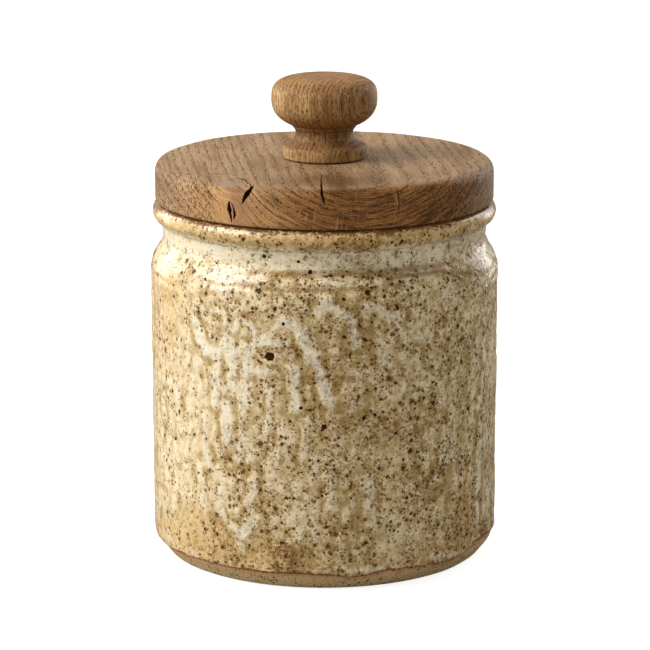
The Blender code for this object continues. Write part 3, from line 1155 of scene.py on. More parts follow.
SPOTS = (
    IronSpot(-17.5, 84.3, 3.5),
    IronSpot(-0.1, 60.1, 2.1),
    IronSpot(-7.4, 66.7, 1.4),
    IronSpot(13.7, 106.8, 2.1),
    IronSpot(6.0, 105.0, 1.5),
    IronSpot(12.8, 90.5, 1.3),
    IronSpot(-20.7, 118.3, 1.7),
    IronSpot(-8.8, 117.0, 1.3),
    IronSpot(-4.8, 113.6, 1.8),
    IronSpot(12.6, 62.9, 1.5),
    IronSpot(16.2, 63.7, 1.4),
    IronSpot(-13.0, 96.1, 1.4),
    IronSpot(48.0, 90.8, 1.4),
    IronSpot(25.5, 123.8, 1.4),
)

GLAZE_EDGE = (
    (-180.0, 6.4), (-150.0, 7.0), (-120.0, 5.8), (-100.0, 6.2), (-79.2, 5.2), (-67.8, 5.4), (-57.5, 6.0),
    (-49.8, 6.1), (-37.7, 6.4), (-27.7, 6.5), (-18.6, 6.7), (-7.9, 6.9), (2.1, 6.6), (6.6, 5.6), (9.6, 5.4),
    (13.5, 5.7), (19.7, 6.9), (27.0, 7.0), (35.5, 6.6), (40.3, 5.9), (46.4, 5.6), (52.6, 6.8), (60.2, 8.9),
    (69.4, 9.0), (90.0, 7.2), (120.0, 6.0), (150.0, 6.8), (180.0, 6.4),
)


@dataclass
class GlazedJar:
    """The thrown jar: its body, its glaze with runs and a rolled lower edge, and its bare foot."""

    body_radius: float = 62.4
    widest: float = 62.49
    rim_top: float = 128.1
    glaze_thickness: float = 0.55
    roll: float = 0.5
    steps: int = 528
    body_rows: int = 98
    upper_rows: int = 56
    seed: int = 7

    def corners(self) -> list[Point]:
        """The outline from the rim's top down to the middle of the foot."""
        bead = bend((57.9, self.rim_top - 3.6), (3.58, 3.6), 90, -62, 24)
        neck = bend((63.6, 116.0), (-6.0, 6.0), 12, -34, 12)
        shoulder = bend((self.body_radius - 9.0, 104.0), (9.0, 9.0), 34, 0, 12)
        foot = [(62.25, 12.0), (62.1, 8.0), (61.3, 5.0), (58.3, 1.3), (57.8, 0.5), (57.3, 0.05), (56.6, 0.0)]
        return [(52.0, self.rim_top)] + bead + [(57.95, 120.4)] + neck + shoulder + foot + [(50.0, 0.0)]

    def glaze_edge(self, angle: np.ndarray) -> np.ndarray:
        """Height of the glaze's lower edge at each angle."""
        angles, heights = zip(*GLAZE_EDGE)
        turn = np.radians(angle)
        ring = 60.0 * np.stack([np.sin(turn), np.cos(turn), np.zeros_like(turn)], axis=1)
        noise = SoftNoise(self.seed + 1)
        ripple = 0.22 * noise.read(ring, 3.2) + 0.12 * noise.read(ring, 1.4)
        return np.interp(angle, angles, heights) + ripple

    def row_plan(self) -> list[tuple[str, float]]:
        """What each row of the mesh follows, from the top to the foot.

        Returns:
            For each row the zone that it lies in, and its share or its distance in that zone.
        """
        plan = [("lid_side", share) for share in (0.0, 0.5)]
        plan += [("upper", share) for share in np.linspace(0.0, 1.0, self.upper_rows)]
        plan += [("body", share) for share in np.linspace(0.0, 1.0, self.body_rows + 1)[1:]]
        plan += [("lip", distance) for distance in (2.2, 1.6, 1.1, 0.75, 0.5, 0.32, 0.18, 0.08, 0.02, 0.0)]
        plan += [("clay", distance) for distance in (0.1, 0.4, 0.9, 1.5, 2.2, 3.0, 4.0)]
        plan += [("foot", share) for share in (0.2, 0.5, 0.75, 1.0)]
        plan += [("underside", share) for share in (0.4, 1.0)]
        return plan

    def thickness(self, above_edge: np.ndarray) -> np.ndarray:
        """Thickness of the glaze at a distance above its lower edge: a round roll that thins out upwards."""
        curl = np.clip(above_edge / self.roll, 0.0, 1.0)
        rise = self.glaze_thickness * np.sqrt(1.0 - (1.0 - curl) ** 2)
        thin = 0.3 * smooth_step(self.roll, 4.5, above_edge)
        return rise - thin

    def build(self, glaze: bpy.types.Material, clay: bpy.types.Material) -> bpy.types.Object:
        """Spins the body, then lays the relief and the glaze on it.

        Args:
            glaze: the finish above the glaze's edge.
            clay: the finish below it.

        Returns:
            The jar.
        """
        outline = Outline(self.corners(), 0.7)
        plan = self.row_plan()
        shares = np.linspace(0.0, outline.length, len(plan))
        rough = [(float(r), float(h)) for r, h in zip(*outline.read(shares))]
        rough = [(0.0, self.rim_top)] + rough[1:-1] + [(0.0, 0.0)]
        item = spin("glazed_jar", rough, self.steps)
        mesh = item.data
        self.lay_surface(mesh, outline, plan)
        face_outwards(mesh)
        cover(mesh, glaze, clay)
        self.share_finishes(mesh)
        return item

    def lay_surface(self, mesh: bpy.types.Mesh, outline: Outline, plan: Sequence[tuple[str, float]]) -> None:
        """Moves the spun rows to their real places and stores what the finishes read.

        Args:
            mesh: the spun mesh.
            outline: the jar's outline.
            plan: what each row follows.
        """
        start = read_places(mesh)
        values = np.empty(len(mesh.vertices), dtype=np.float32)
        mesh.attributes["row"].data.foreach_get("value", values)
        rows = np.rint(values).astype(int)
        angle = np.degrees(np.arctan2(start[:, 0], -start[:, 1]))
        zone = np.array([name for name, _ in plan])[rows]
        share = np.array([value for _, value in plan])[rows]
        edge_along = outline.along_at_height(self.glaze_edge(angle), 30.0)
        rim_along = 5.9
        body_along = float(outline.along_at_height(np.array([102.0]), 12.0)[0])
        foot_along = outline.length - 6.8
        along = np.zeros(len(rows))
        along[zone == "lid_side"] = rim_along * share[zone == "lid_side"]
        along[zone == "upper"] = rim_along + (body_along - rim_along) * share[zone == "upper"]
        part = zone == "body"
        along[part] = body_along + (edge_along[part] - 2.6 - body_along) * share[part]
        part = zone == "lip"
        along[part] = edge_along[part] - share[part]
        part = zone == "clay"
        along[part] = edge_along[part] + share[part]
        part = zone == "foot"
        along[part] = edge_along[part] + 4.0 + (foot_along - edge_along[part] - 4.0) * share[part]
        part = zone == "underside"
        along[part] = foot_along + (outline.length - foot_along) * share[part]
        radius, height = outline.read(along)
        out_radius, out_height = outline.outward(along)
        flat = round_the_axis(radius, angle, height)
        glazed = (zone == "upper") | (zone == "body") | (zone == "lip")
        above_edge = edge_along - along
        relief = np.where(glazed, self.thickness(np.maximum(above_edge, 0.0)) - 0.25, -0.25)
        milk, moat = self.milk(angle, height, flat)
        fade = smooth_step(0.5, 3.0, above_edge) * smooth_step(rim_along, rim_along + 3.0, along)
        raised = self.throwing(height, flat) + 0.52 * milk - 0.16 * moat
        relief += np.where(glazed, fade * raised, 0.0)
        clay_noise = SoftNoise(self.seed + 2).read(flat, 2.5)
        relief += np.where(zone == "clay", 0.05 * clay_noise, 0.0)
        new_radius = np.minimum(radius + out_radius * relief, self.widest)
        new_height = np.clip(height + out_height * relief, 0.0, self.rim_top)
        top, bottom = rows == 0, rows == len(plan) - 1
        new_radius[top | bottom] = 0.0
        new_height[top] = self.rim_top
        new_height[bottom | (zone == "underside")] = 0.0
        write_places(mesh, round_the_axis(new_radius, angle, new_height))
        store(mesh, "milk", np.where(glazed, milk, 0.0))
        store(mesh, "moat", np.where(glazed, moat, 0.0))
        store(mesh, "crease", np.where(glazed, self.creases(angle, height, flat), 0.0))
        store(mesh, "ochre", self.ochre(angle, height, flat))
        rust = self.rust(angle, height, flat, above_edge, along - rim_along)
        store(mesh, "rust", np.where(glazed, rust, 0.0))
        store(mesh, "below_edge", np.maximum(-above_edge, 0.0))
        store(mesh, "iron", self.iron(angle, flat) * glazed * smooth_step(1.0, 5.0, along - rim_along))

    def throwing(self, height: np.ndarray, flat: np.ndarray) -> np.ndarray:
        """Relief of the throwing rings and of the glaze's lumps.

        Args:
            height: height of each point.
            flat: each point on the plain outline.

        Returns:
            The relief in millimetres.
        """
        noise = SoftNoise(self.seed)
        wander = 1.6 * noise.read(flat, 30.0)
        rings = 0.045 * np.sin(2 * pi * height / 8.3 + wander) + 0.03 * np.sin(2 * pi * height / 3.7 + 2 * wander)
        shoulder = smooth_step(99.0, 104.0, height) * smooth_step(116.0, 112.0, height)
        rings = rings * (1.0 + 2.0 * shoulder)
        lumps = 0.07 * noise.read(flat, (16.0, 16.0, 22.0)) + 0.05 * noise.read(flat, (5.0, 5.0, 12.0))
        lumps += 0.03 * noise.read(flat, (2.2, 2.2, 5.0))
        return rings + lumps - 0.05

    def nearest(self, path: Sequence[Point], across: np.ndarray, height: np.ndarray) -> np.ndarray:
        """Distance of each point from a path on the jar, in millimetres."""
        nearest = np.full(len(across), 1e9)
        for (angle_a, height_a), (angle_b, height_b) in zip(path, path[1:]):
            start = np.array([radians(angle_a) * self.body_radius, height_a])
            step = np.array([radians(angle_b) * self.body_radius, height_b]) - start
            share = ((across - start[0]) * step[0] + (height - start[1]) * step[1]) / (step @ step)
            share = np.clip(share, 0.0, 1.0)
            away = np.hypot(across - start[0] - share * step[0], height - start[1] - share * step[1])
            nearest = np.minimum(nearest, away)
        return nearest

    def creases(self, angle: np.ndarray, height: np.ndarray, flat: np.ndarray) -> np.ndarray:
        """How dark the thin lines are where the glaze has parted."""
        warp = SoftNoise(self.seed + 9)
        across = np.radians(angle) * self.body_radius
        height = height + 0.35 * warp.read(flat, 4.0) + 0.2 * warp.read(flat, 1.5)
        dark = np.zeros(len(angle))
        for crease in CREASES:
            share = self.nearest(crease.path, across, height) / crease.width
            dark = np.maximum(dark, crease.strength * np.exp(-(share**2)))
        return dark

    def milk(self, angle: np.ndarray, height: np.ndarray, flat: np.ndarray) -> tuple[np.ndarray, np.ndarray]:
        """How milky the glaze is: a neck band partly painted light, the named runs in front, and like runs
        elsewhere.

        Args:
            angle: angle of each point.
            height: height of each point.
            flat: each point on the plain outline.

        Returns:
            For each point its milkiness, and how far it lies in the thin glaze beside a run, both from 0 to 1.
        """
        warp = SoftNoise(self.seed + 8)
        across = np.radians(angle) * self.body_radius
        across = across + 0.8 * warp.read(flat, 4.0) + 0.35 * warp.read(flat, 1.6)
        height = height + 0.8 * warp.read(flat + 50.0, 4.0)
        uneven = 1.0 + 0.35 * warp.read(flat, 5.0)
        # The pale band round the neck: partly milky glaze, partly painted light that lifts the neck where the lid
        # and bead shade it.
        milk = 0.55 * smooth_step(112.0, 115.0, height) * smooth_step(122.5, 120.5, height)
        moat = np.zeros(len(angle))
        for run in RUNS + self.other_runs():
            share = self.nearest(run.path, across, height) / (run.width * uneven)
            milk = np.maximum(milk, run.strength * (1.0 - smooth_step(0.0, 1.0, share)))
            moat = np.maximum(moat, run.strength * np.exp(-(((share - 1.2) / 0.4) ** 2)))
        return milk, moat * np.clip(1.0 - 1.6 * milk, 0.0, 1.0)

    def other_runs(self) -> tuple[GlazeRun, ...]:
        """Seeded runs of the kind that the front has: bold on the sides and the back, faint in front."""
        chance = np.random.default_rng(self.seed)
        runs = []
        for _ in range(110):
            angle = chance.uniform(-180.0, 180.0)
            bold = 1.0 if abs(angle) > 60.0 else 0.45
            top = chance.uniform(18.0, 106.0)
            length = chance.uniform(5.0, 18.0)
            lean, hook = chance.uniform(-3.0, 3.0, 2)
            path = tuple((angle + lean * t + hook * t * t, top - length * t) for t in (0.0, 0.35, 0.7, 1.0))
            runs.append(GlazeRun(path, chance.uniform(1.8, 3.2), bold * chance.uniform(0.4, 0.9)))
        return tuple(runs)

    def stained(self, stains: Sequence[Stain], angle: np.ndarray, height: np.ndarray) -> np.ndarray:
        """How strongly soft areas cover each point."""
        across = np.radians(angle) * self.body_radius
        total = np.zeros(len(angle))
        for stain in stains:
            x = (across - radians(stain.angle) * self.body_radius) / stain.half_width
            z = (height - stain.height) / stain.half_height
            total += stain.strength * np.exp(-(x * x) - z * z)
        return total

    def ochre(self, angle: np.ndarray, height: np.ndarray, flat: np.ndarray) -> np.ndarray:
        """How warm the glaze is: the rim, the foot, the left edge, the named stains, and slow changes."""
        warm = 0.6 * np.maximum(SoftNoise(self.seed + 3).read(flat, (22.0, 22.0, 30.0)), 0.0)
        warm = warm + 1.1 * smooth_step(120.5, 123.5, height) + 0.5 * smooth_step(24.0, 8.0, height)
        left = smooth_step(-52.0, -75.0, angle) * smooth_step(-178.0, -120.0, angle)
        warm = warm + 0.5 * left * smooth_step(105.0, 98.0, height)
        return warm + self.stained(STAINS, angle, height)

    def rust(
        self, angle: np.ndarray, height: np.ndarray, flat: np.ndarray, above_edge: np.ndarray, below_rim: np.ndarray
    ) -> np.ndarray:
        """Where the glaze breaks to rust: on the rim's top, in the crease under it, at the edge and in patches.

        Args:
            angle: angle of each point.
            height: height of each point.
            flat: each point on the plain outline.
            above_edge: distance above the glaze's lower edge.
            below_rim: distance along the outline from the rim's inner edge.

        Returns:
            One value from 0 to about 1 for each point.
        """
        noise = SoftNoise(self.seed + 4).read(flat, (7.0, 7.0, 3.0))
        rust = 0.95 * (1.0 - smooth_step(1.8, 5.4, below_rim + 1.2 * noise))
        rust = np.maximum(rust, (0.6 + 0.3 * noise) * np.exp(-(((below_rim - 10.6) / 0.8) ** 2)))
        rust = np.maximum(rust, (0.3 + 0.3 * noise) * np.exp(-(((below_rim - 16.5) / 0.9) ** 2)))
        rust = np.maximum(rust, 0.8 * (1.0 - smooth_step(0.25, 1.2, above_edge + 0.3 * noise)))
        return rust + self.stained(RUST_PATCHES, angle, height)

    def iron(self, angle: np.ndarray, flat: np.ndarray) -> np.ndarray:
        """How many blisters of iron there are, most in front and to the right."""
        side = smooth_step(-60.0, -5.0, angle) * (1.0 - 0.4 * smooth_step(40.0, 100.0, angle))
        side = side * smooth_step(178.0, 110.0, angle)
        side = side * (1.0 - 0.45 * smooth_step(55.0, 85.0, flat[:, 2]) * smooth_step(20.0, -10.0, angle))
        side = side * (1.0 + 0.35 * smooth_step(45.0, 25.0, flat[:, 2]) * smooth_step(30.0, 10.0, angle))
        patches = 0.5 + 0.5 * SoftNoise(self.seed + 5).read(flat, 12.0)
        return (0.25 + 0.75 * side) * (0.4 + 1.2 * patches)

    @staticmethod
    def share_finishes(mesh: bpy.types.Mesh) -> None:
        """Gives each face below the glaze's edge the second finish."""
        below = np.empty(len(mesh.vertices), dtype=np.float32)
        mesh.attributes["below_edge"].data.foreach_get("value", below)
        for face in mesh.polygons:
            face.material_index = int(max(below[v] for v in face.vertices) > 0.01)

    def spot_meshes(self, jar: bpy.types.Object, finish: bpy.types.Material) -> bpy.types.Object:
        """The named large iron spots, each a low round dome on the jar's surface.

        Args:
            jar: the jar.
            finish: their finish.

        Returns:
            One object of all the spots.
        """
        shape = bmesh.new()
        chance = np.random.default_rng(self.seed + 6)
        for spot in SPOTS:
            self.add_spot(shape, jar, spot, chance)
        mesh = bpy.data.meshes.new("iron_spots")
        shape.to_mesh(mesh)
        shape.free()
        mesh.materials.append(finish)
        mesh.shade_smooth()
        item = new_object("iron_spots", mesh)
        face_outwards(mesh)
        return item

    @staticmethod
    def add_spot(
        shape: bmesh.types.BMesh, jar: bpy.types.Object, spot: IronSpot, chance: np.random.Generator
    ) -> None:
        """Adds one spot to a shape: rings of an uneven circle, each point laid on the jar's surface."""
        turn = radians(spot.angle)
        outward = Vector((sin(turn), -cos(turn), 0.0))
        middle = outward * 80.0 * MM + Vector((0.0, 0.0, spot.height * MM))
        hit, centre, normal, _ = jar.ray_cast(middle, -outward)
        if not hit:
            return
        side = Vector((0.0, 0.0, 1.0)).cross(normal).normalized()
        upward = normal.cross(side)
        wobble = chance.uniform(0.82, 1.12, 16)
        radius = 0.5 * spot.diameter * MM
        height = 0.045 * spot.diameter * MM
        rings = []
        for share, rise in ((1.0, -0.5), (0.93, 0.35), (0.7, 0.8), (0.35, 1.0)):
            ring = []
            for number, part in enumerate(wobble):
                a = 2 * pi * number / len(wobble)
                reach = radius * share * (part if share > 0.5 else 1.0)
                at = centre + side * cos(a) * reach + upward * sin(a) * reach
                found, place, _, _ = jar.ray_cast(at + normal * 2.0 * MM, -normal)
                ring.append(shape.verts.new((place if found else at) + normal * height * rise))
            rings.append(ring)
        for outer, inner in zip(rings, rings[1:]):
            for i in range(len(outer)):
                j = (i + 1) % len(outer)
                shape.faces.new((outer[i], outer[j], inner[j], inner[i]))
        shape.faces.new(rings[-1])
        shape.faces.new(rings[0][::-1])


class Surface(Enum):
    """Which side of the lid a check opens to."""

    TOP = "top"
    RIM = "rim"


@dataclass(frozen=True)
class Check:
    """A split in the lid: its path on the lid's front, its widths and depths.

    Each point of the path is across and height for one on the rim, and across and distance in front of the
    axis for one on the top.
    """

    name: str
    surface: Surface
    path: tuple[Point, ...]
    widths: tuple[float, ...]
    depths: tuple[float, ...]


CHECKS = (
    Check(
        "long_check",
        Surface.RIM,
        ((-24.9, 143.4), (-25.2, 142.2), (-25.9, 140.8), (-26.8, 139.0), (-27.6, 137.3), (-28.2, 136.0)),
        (0.4, 1.3, 2.2, 1.8, 0.9, 0.15),
        (2.5, 4.0, 5.5, 5.0, 3.0, 1.0),
    ),
    Check(
        "knot_hole",
        Surface.RIM,
        ((-32.3, 136.8), (-32.6, 135.5), (-32.5, 134.0), (-32.2, 132.6), (-31.8, 131.0), (-31.7, 129.4)),
        (0.5, 1.3, 1.8, 1.5, 0.9, 0.2),
        (1.5, 3.0, 3.8, 3.6, 2.6, 1.0),
    ),
    Check(
        "knot_cleft",
        Surface.RIM,
        ((-31.7, 136.2), (-31.0, 134.8), (-30.6, 133.2), (-30.6, 131.8), (-31.1, 130.3)),
        (0.3, 0.7, 0.9, 0.9, 0.2),
        (1.0, 2.4, 3.0, 2.4, 1.0),
    ),
    Check(
        "short_check",
        Surface.RIM,
        ((-1.1, 143.6), (-1.0, 141.8), (-0.7, 140.2), (-0.3, 138.6), (0.1, 137.0)),
        (0.8, 1.0, 1.1, 0.7, 0.1),
        (5.0, 5.0, 4.5, 3.0, 1.0),
    ),
    Check(
        "hair_check",
        Surface.RIM,
        ((25.0, 143.6), (25.2, 140.5), (25.3, 137.0), (25.2, 132.9)),
        (0.4, 0.45, 0.35, 0.1),
        (2.0, 2.0, 1.5, 0.6),
    ),
    Check(
        "top_check",
        Surface.TOP,
        ((-24.8, 56.5), (-25.1, 51.8), (-26.5, 46.5), (-27.7, 42.6), (-28.5, 41.0)),
        (0.9, 0.5, 0.5, 1.1, 0.6),
        (3.0, 2.2, 1.8, 2.4, 1.0),
    ),
    Check(
        "top_cleft",
        Surface.TOP,
        ((-27.9, 41.4), (-29.3, 41.0), (-31.2, 41.6), (-33.4, 42.2)),
        (1.5, 1.0, 0.45, 0.12),
        (2.0, 1.6, 0.8, 0.3),
    ),
    Check(
        "top_hair",
        Surface.TOP,
        ((-41.4, 32.2), (-37.0, 31.6), (-34.8, 31.9), (-32.2, 31.2)),
        (0.12, 0.35, 0.4, 0.12),
        (0.3, 0.6, 0.7, 0.3),
    ),
    Check(
        "short_top",
        Surface.TOP,
        ((-1.0, 60.2), (-1.0, 52.0), (-1.2, 44.0), (-1.0, 38.0), (-1.2, 32.0)),
        (0.9, 0.7, 0.5, 0.35, 0.1),
        (4.0, 3.0, 1.6, 0.8, 0.3),
    ),
)


# A wedge's cross-section, as shares of its half width and of its depth; a negative depth is millimetres outside
WEDGE_HALF = ((0.0, 1.0), (0.45, 0.7), (0.8, 0.35), (1.0, 0.0), (1.0, -1.2))
WEDGE = tuple((-side, into) for side, into in WEDGE_HALF[:0:-1]) + WEDGE_HALF


@dataclass
class OakLid:
    """The flat turned lid with a soft top edge, opened by checks and by a knot."""

    radius: float = 60.55
    bottom: float = 128.4
    top: float = 142.7
    top_round: float = 3.9
    bottom_round: float = 0.8
    chip_depth: float = 0.55
    steps: int = 420
    seed: int = 21

    def outline(self) -> list[Point]:
        """The outline, top to bottom."""
        flat = [(r, self.top) for r in (0.0, 8.0, 16.0, 24.0, 31.0, 37.0, 42.0, 46.0, 49.5, 52.5, 55.0)]
        upper = (self.radius - self.top_round, self.top - self.top_round)
        lower = (self.radius - self.bottom_round, self.bottom + self.bottom_round)
        round_over = bend(upper, (self.top_round, self.top_round), 90, 0, 12)
        side = [(self.radius, h) for h in np.linspace(upper[1], lower[1], 14)[1:-1]]
        under = bend(lower, (self.bottom_round, self.bottom_round), 0, -90, 4)
        return flat + round_over + side + under + [(30.0, self.bottom), (0.0, self.bottom)]

    def build(self, oak: bpy.types.Material, torn: bpy.types.Material) -> bpy.types.Object:
        """Turns the lid, wears its edge and opens its checks.

        Args:
            oak: the finish of the faces that were turned.
            torn: the finish inside the checks.

        Returns:
            The lid.
        """
        item = spin("turned_lid", self.outline(), self.steps)
        mesh = item.data
        self.wear(mesh)
        face_outwards(mesh)
        cover(mesh, oak, torn)
        self.open_checks(item, torn)
        mesh = item.data
        mesh.shade_smooth()
        mesh.set_sharp_from_angle(angle=radians(48))
        return item

    def wear(self, mesh: bpy.types.Mesh) -> None:
        """Makes the turned faces a little uneven, most along the top edge, and never larger."""
        places = read_places(mesh)
        noise = SoftNoise(self.seed)
        slow = 0.5 + 0.5 * noise.read(places, (14.0, 14.0, 9.0))
        quick = 0.5 + 0.5 * noise.read(places, 3.0)
        radius = np.hypot(places[:, 0], places[:, 1])
        edge = smooth_step(self.radius - 6.0, self.radius - 1.5, radius)
        edge = edge * smooth_step(self.top - 5.5, self.top - 1.0, places[:, 2])
        outer = radius > self.radius - self.top_round - 1.0
        inward = np.where(outer, 0.05 * slow + 0.02 * quick + 0.22 * edge * slow * slow + 0.05 * edge * quick, 0.0)
        scale = (radius - inward) / np.maximum(radius, TINY)
        places[:, 0] *= scale
        places[:, 1] *= scale
        sunk = 0.06 * slow + 0.3 * edge * slow * slow
        places[:, 2] -= np.where(places[:, 2] > self.top - self.top_round, sunk, 0.0)
        chip = self.chip(places)
        places[:, 2] -= self.chip_depth * chip
        write_places(mesh, places)
        store(mesh, "chip", chip)

    def chip(self, places: np.ndarray) -> np.ndarray:
        """Where the flake beside the long check has split off the top edge."""
        angle = np.degrees(np.arctan2(places[:, 0], -places[:, 1]))
        radius = np.hypot(places[:, 0], places[:, 1])
        across = (angle + 33.0) / 7.0
        outwards = (radius - 56.9 + 0.16 * (angle + 33.0)) / 2.2
        above = smooth_step(self.top - 3.0, self.top - 1.5, places[:, 2])
        return smooth_step(1.0, 0.55, across**2 + outwards**2) * above

    def stations(self, check: Check) -> list[tuple[Vector, Vector, Vector, float, float]]:
        """Stations along a check.

        Args:
            check: the check.

        Returns:
            For each station its place on the lid, the way into the wood, the way across the split, its width
            and its depth.
        """
        found = []
        chance = np.random.default_rng(self.seed + len(check.name))
        points = np.array(check.path)
        lengths = np.concatenate([[0.0], np.cumsum(np.hypot(*np.diff(points, axis=0).T))])
        marks = np.arange(0.0, lengths[-1] + 0.3, 0.55)
        for number, mark in enumerate(marks):
            mark = min(mark, lengths[-1])
            across = float(np.interp(mark, lengths, points[:, 0])) + 0.12 * chance.uniform(-1.0, 1.0)
            other = float(np.interp(mark, lengths, points[:, 1]))
            width = float(np.interp(mark, lengths, check.widths)) * chance.uniform(0.75, 1.2)
            depth = float(np.interp(mark, lengths, check.depths)) * chance.uniform(0.8, 1.15)
            if check.surface is Surface.RIM:
                place = Vector((across, -sqrt(self.radius**2 - across**2), other))
                inward = Vector((-place.x, -place.y, 0.0)).normalized()
                sideways = Vector((0.0, 0.0, 1.0)).cross(inward).normalized()
            else:
                place = Vector((across, -other, self.top))
                inward = Vector((0.0, 0.0, -1.0))
                ahead = points[min(len(points) - 1, int(np.searchsorted(lengths, mark, side="right")))]
                behind = points[max(0, int(np.searchsorted(lengths, mark, side="right")) - 1)]
                run = Vector((ahead[0] - behind[0], behind[1] - ahead[1], 0.0))
                sideways = inward.cross(run).normalized() if run.length > 0.0 else Vector((1.0, 0.0, 0.0))
            found.append((place, inward, sideways, width, depth))
        return found

    def wedge(self, shape: bmesh.types.BMesh, check: Check) -> None:
        """Adds the wedge that one check takes out of the lid, lofted along its path.

        Args:
            shape: the shape that gathers all the wedges.
            check: the check.
        """
        chance = np.random.default_rng(self.seed + 50 + len(check.name))
        sections = []
        for place, inward, sideways, width, depth in self.stations(check):
            section = []
            for side, into in WEDGE:
                reach = into * depth if into > 0.0 else into
                shake = 0.16 * chance.uniform(-1.0, 1.0) if into > 0.0 else 0.0
                away = sideways * ((side + shake) * 0.5 * width)
                section.append(shape.verts.new((place + away + inward * reach) * MM))
            sections.append(section)
        for first, second in zip(sections, sections[1:]):
            for i in range(len(first)):
                j = (i + 1) % len(first)
                shape.faces.new((first[i], first[j], second[j], second[i]))
        shape.faces.new(sections[0][::-1])
        shape.faces.new(sections[-1])

    def open_checks(self, lid: bpy.types.Object, torn: bpy.types.Material) -> None:
        """Cuts all the checks out of the lid.

        Args:
            lid: the lid.
            torn: the finish of the faces that the cut leaves.
        """
        shape = bmesh.new()
        for check in CHECKS:
            self.wedge(shape, check)
        bmesh.ops.triangulate(shape, faces=shape.faces)
        bmesh.ops.recalc_face_normals(shape, faces=shape.faces)
        mesh = bpy.data.meshes.new("checks")
        shape.to_mesh(mesh)
        shape.free()
        mesh.materials.append(torn)
        cutter = new_object("checks", mesh)
        cut = lid.modifiers.new("checks", "BOOLEAN")
        cut.operation = "DIFFERENCE"
        cut.solver = "EXACT"
        cut.use_self = True
        cut.material_mode = "TRANSFER"
        cut.object = cutter
        bpy.context.view_layer.update()
        plain = bpy.data.meshes.new_from_object(lid.evaluated_get(bpy.context.evaluated_depsgraph_get()))
        lid.modifiers.remove(cut)
        old = lid.data
        plain.name = "oak_lid_surface"
        lid.data = plain
        bpy.data.meshes.remove(old)
        bpy.data.objects.remove(cutter)
        bpy.data.meshes.remove(mesh)


@dataclass
class TurnedKnob:
    """The turned knob: a base ring, a cove, and a bulb with a flattened top."""

    bottom: float = 143.0
    radius: float = 18.9
    height: float = 29.4
    ring_radius: float = 15.0
    ring_height: float = 3.9
    waist_radius: float = 10.3
    waist_height: float = 8.9
    bulb_height: float = 20.9
    steps: int = 224

    def bulb(self, reach: float, power: float, shares: np.ndarray) -> list[Point]:
        """Points of the bulb's outline, from its widest ring towards one end.

        Args:
            reach: height of the end above the widest ring.
            power: how square the curve is.
            shares: shares of the way to the end.

        Returns:
            Radius and height of each point.
        """
        middle = self.bottom + self.bulb_height
        return [(self.radius * (1.0 - s**power) ** (1.0 / power), middle + reach * s) for s in shares]

    def outline(self) -> list[Point]:
        """The outline, top to bottom."""
        end = self.bottom + self.height
        top = [(r, end - 0.0008 * r * r) for r in (0.0, 2.0, 4.0)]
        above = self.bulb(self.height - self.bulb_height, 3.4, np.linspace(0.993, 0.04, 28))
        below = self.bulb(-11.0, 2.3, np.linspace(0.0, 0.86, 26))
        middle = (self.waist_radius + 5.8, self.bottom + self.waist_height)
        cove = bend(middle, (-5.8, 3.6), 36, 0, 8) + bend(middle, (-5.8, 4.6), 0, -76, 14)[1:]
        ring_top = self.bottom + self.ring_height
        shelf = [(self.ring_radius - 0.35, ring_top + 0.02), (self.ring_radius - 0.1, ring_top - 0.1)]
        side = [(self.ring_radius, ring_top - 0.3 - 3.0 * t) for t in np.linspace(0.0, 1.0, 7)]
        foot = [(self.ring_radius - 0.1, self.bottom + 0.25), (self.ring_radius - 0.5, self.bottom)]
        foot.append((7.0, self.bottom))
        return top + above + below + cove + shelf + side + foot + [(0.0, self.bottom)]

    def build(self, oak: bpy.types.Material) -> bpy.types.Object:
        """Turns the knob.

        Args:
            oak: its finish.

        Returns:
            The knob.
        """
        item = spin("turned_knob", self.outline(), self.steps)
        mesh = item.data
        places = read_places(mesh)
        noise = SoftNoise(31)
        radius = np.hypot(places[:, 0], places[:, 1])
        inward = 0.03 + 0.03 * noise.read(places, 6.0) + 0.015 * noise.read(places, (40.0, 40.0, 0.8))
        scale = np.where(radius > 5.0, (radius - np.maximum(inward, 0.0)) / np.maximum(radius, TINY), 1.0)
        places[:, 0] *= scale
        places[:, 1] *= scale
        write_places(mesh, places)
        face_outwards(mesh)
        cover(mesh, oak)
        return item


@dataclass(frozen=True)
class Softbox:
    """A rectangular soft light aimed at the jar: angles round the jar and above the floor, sizes in metres."""

    name: str
    angle: float
    elevation: float
    distance: float
    width: float
    height: float
    watts: float
    colour: Colour = (1.0, 1.0, 1.0)


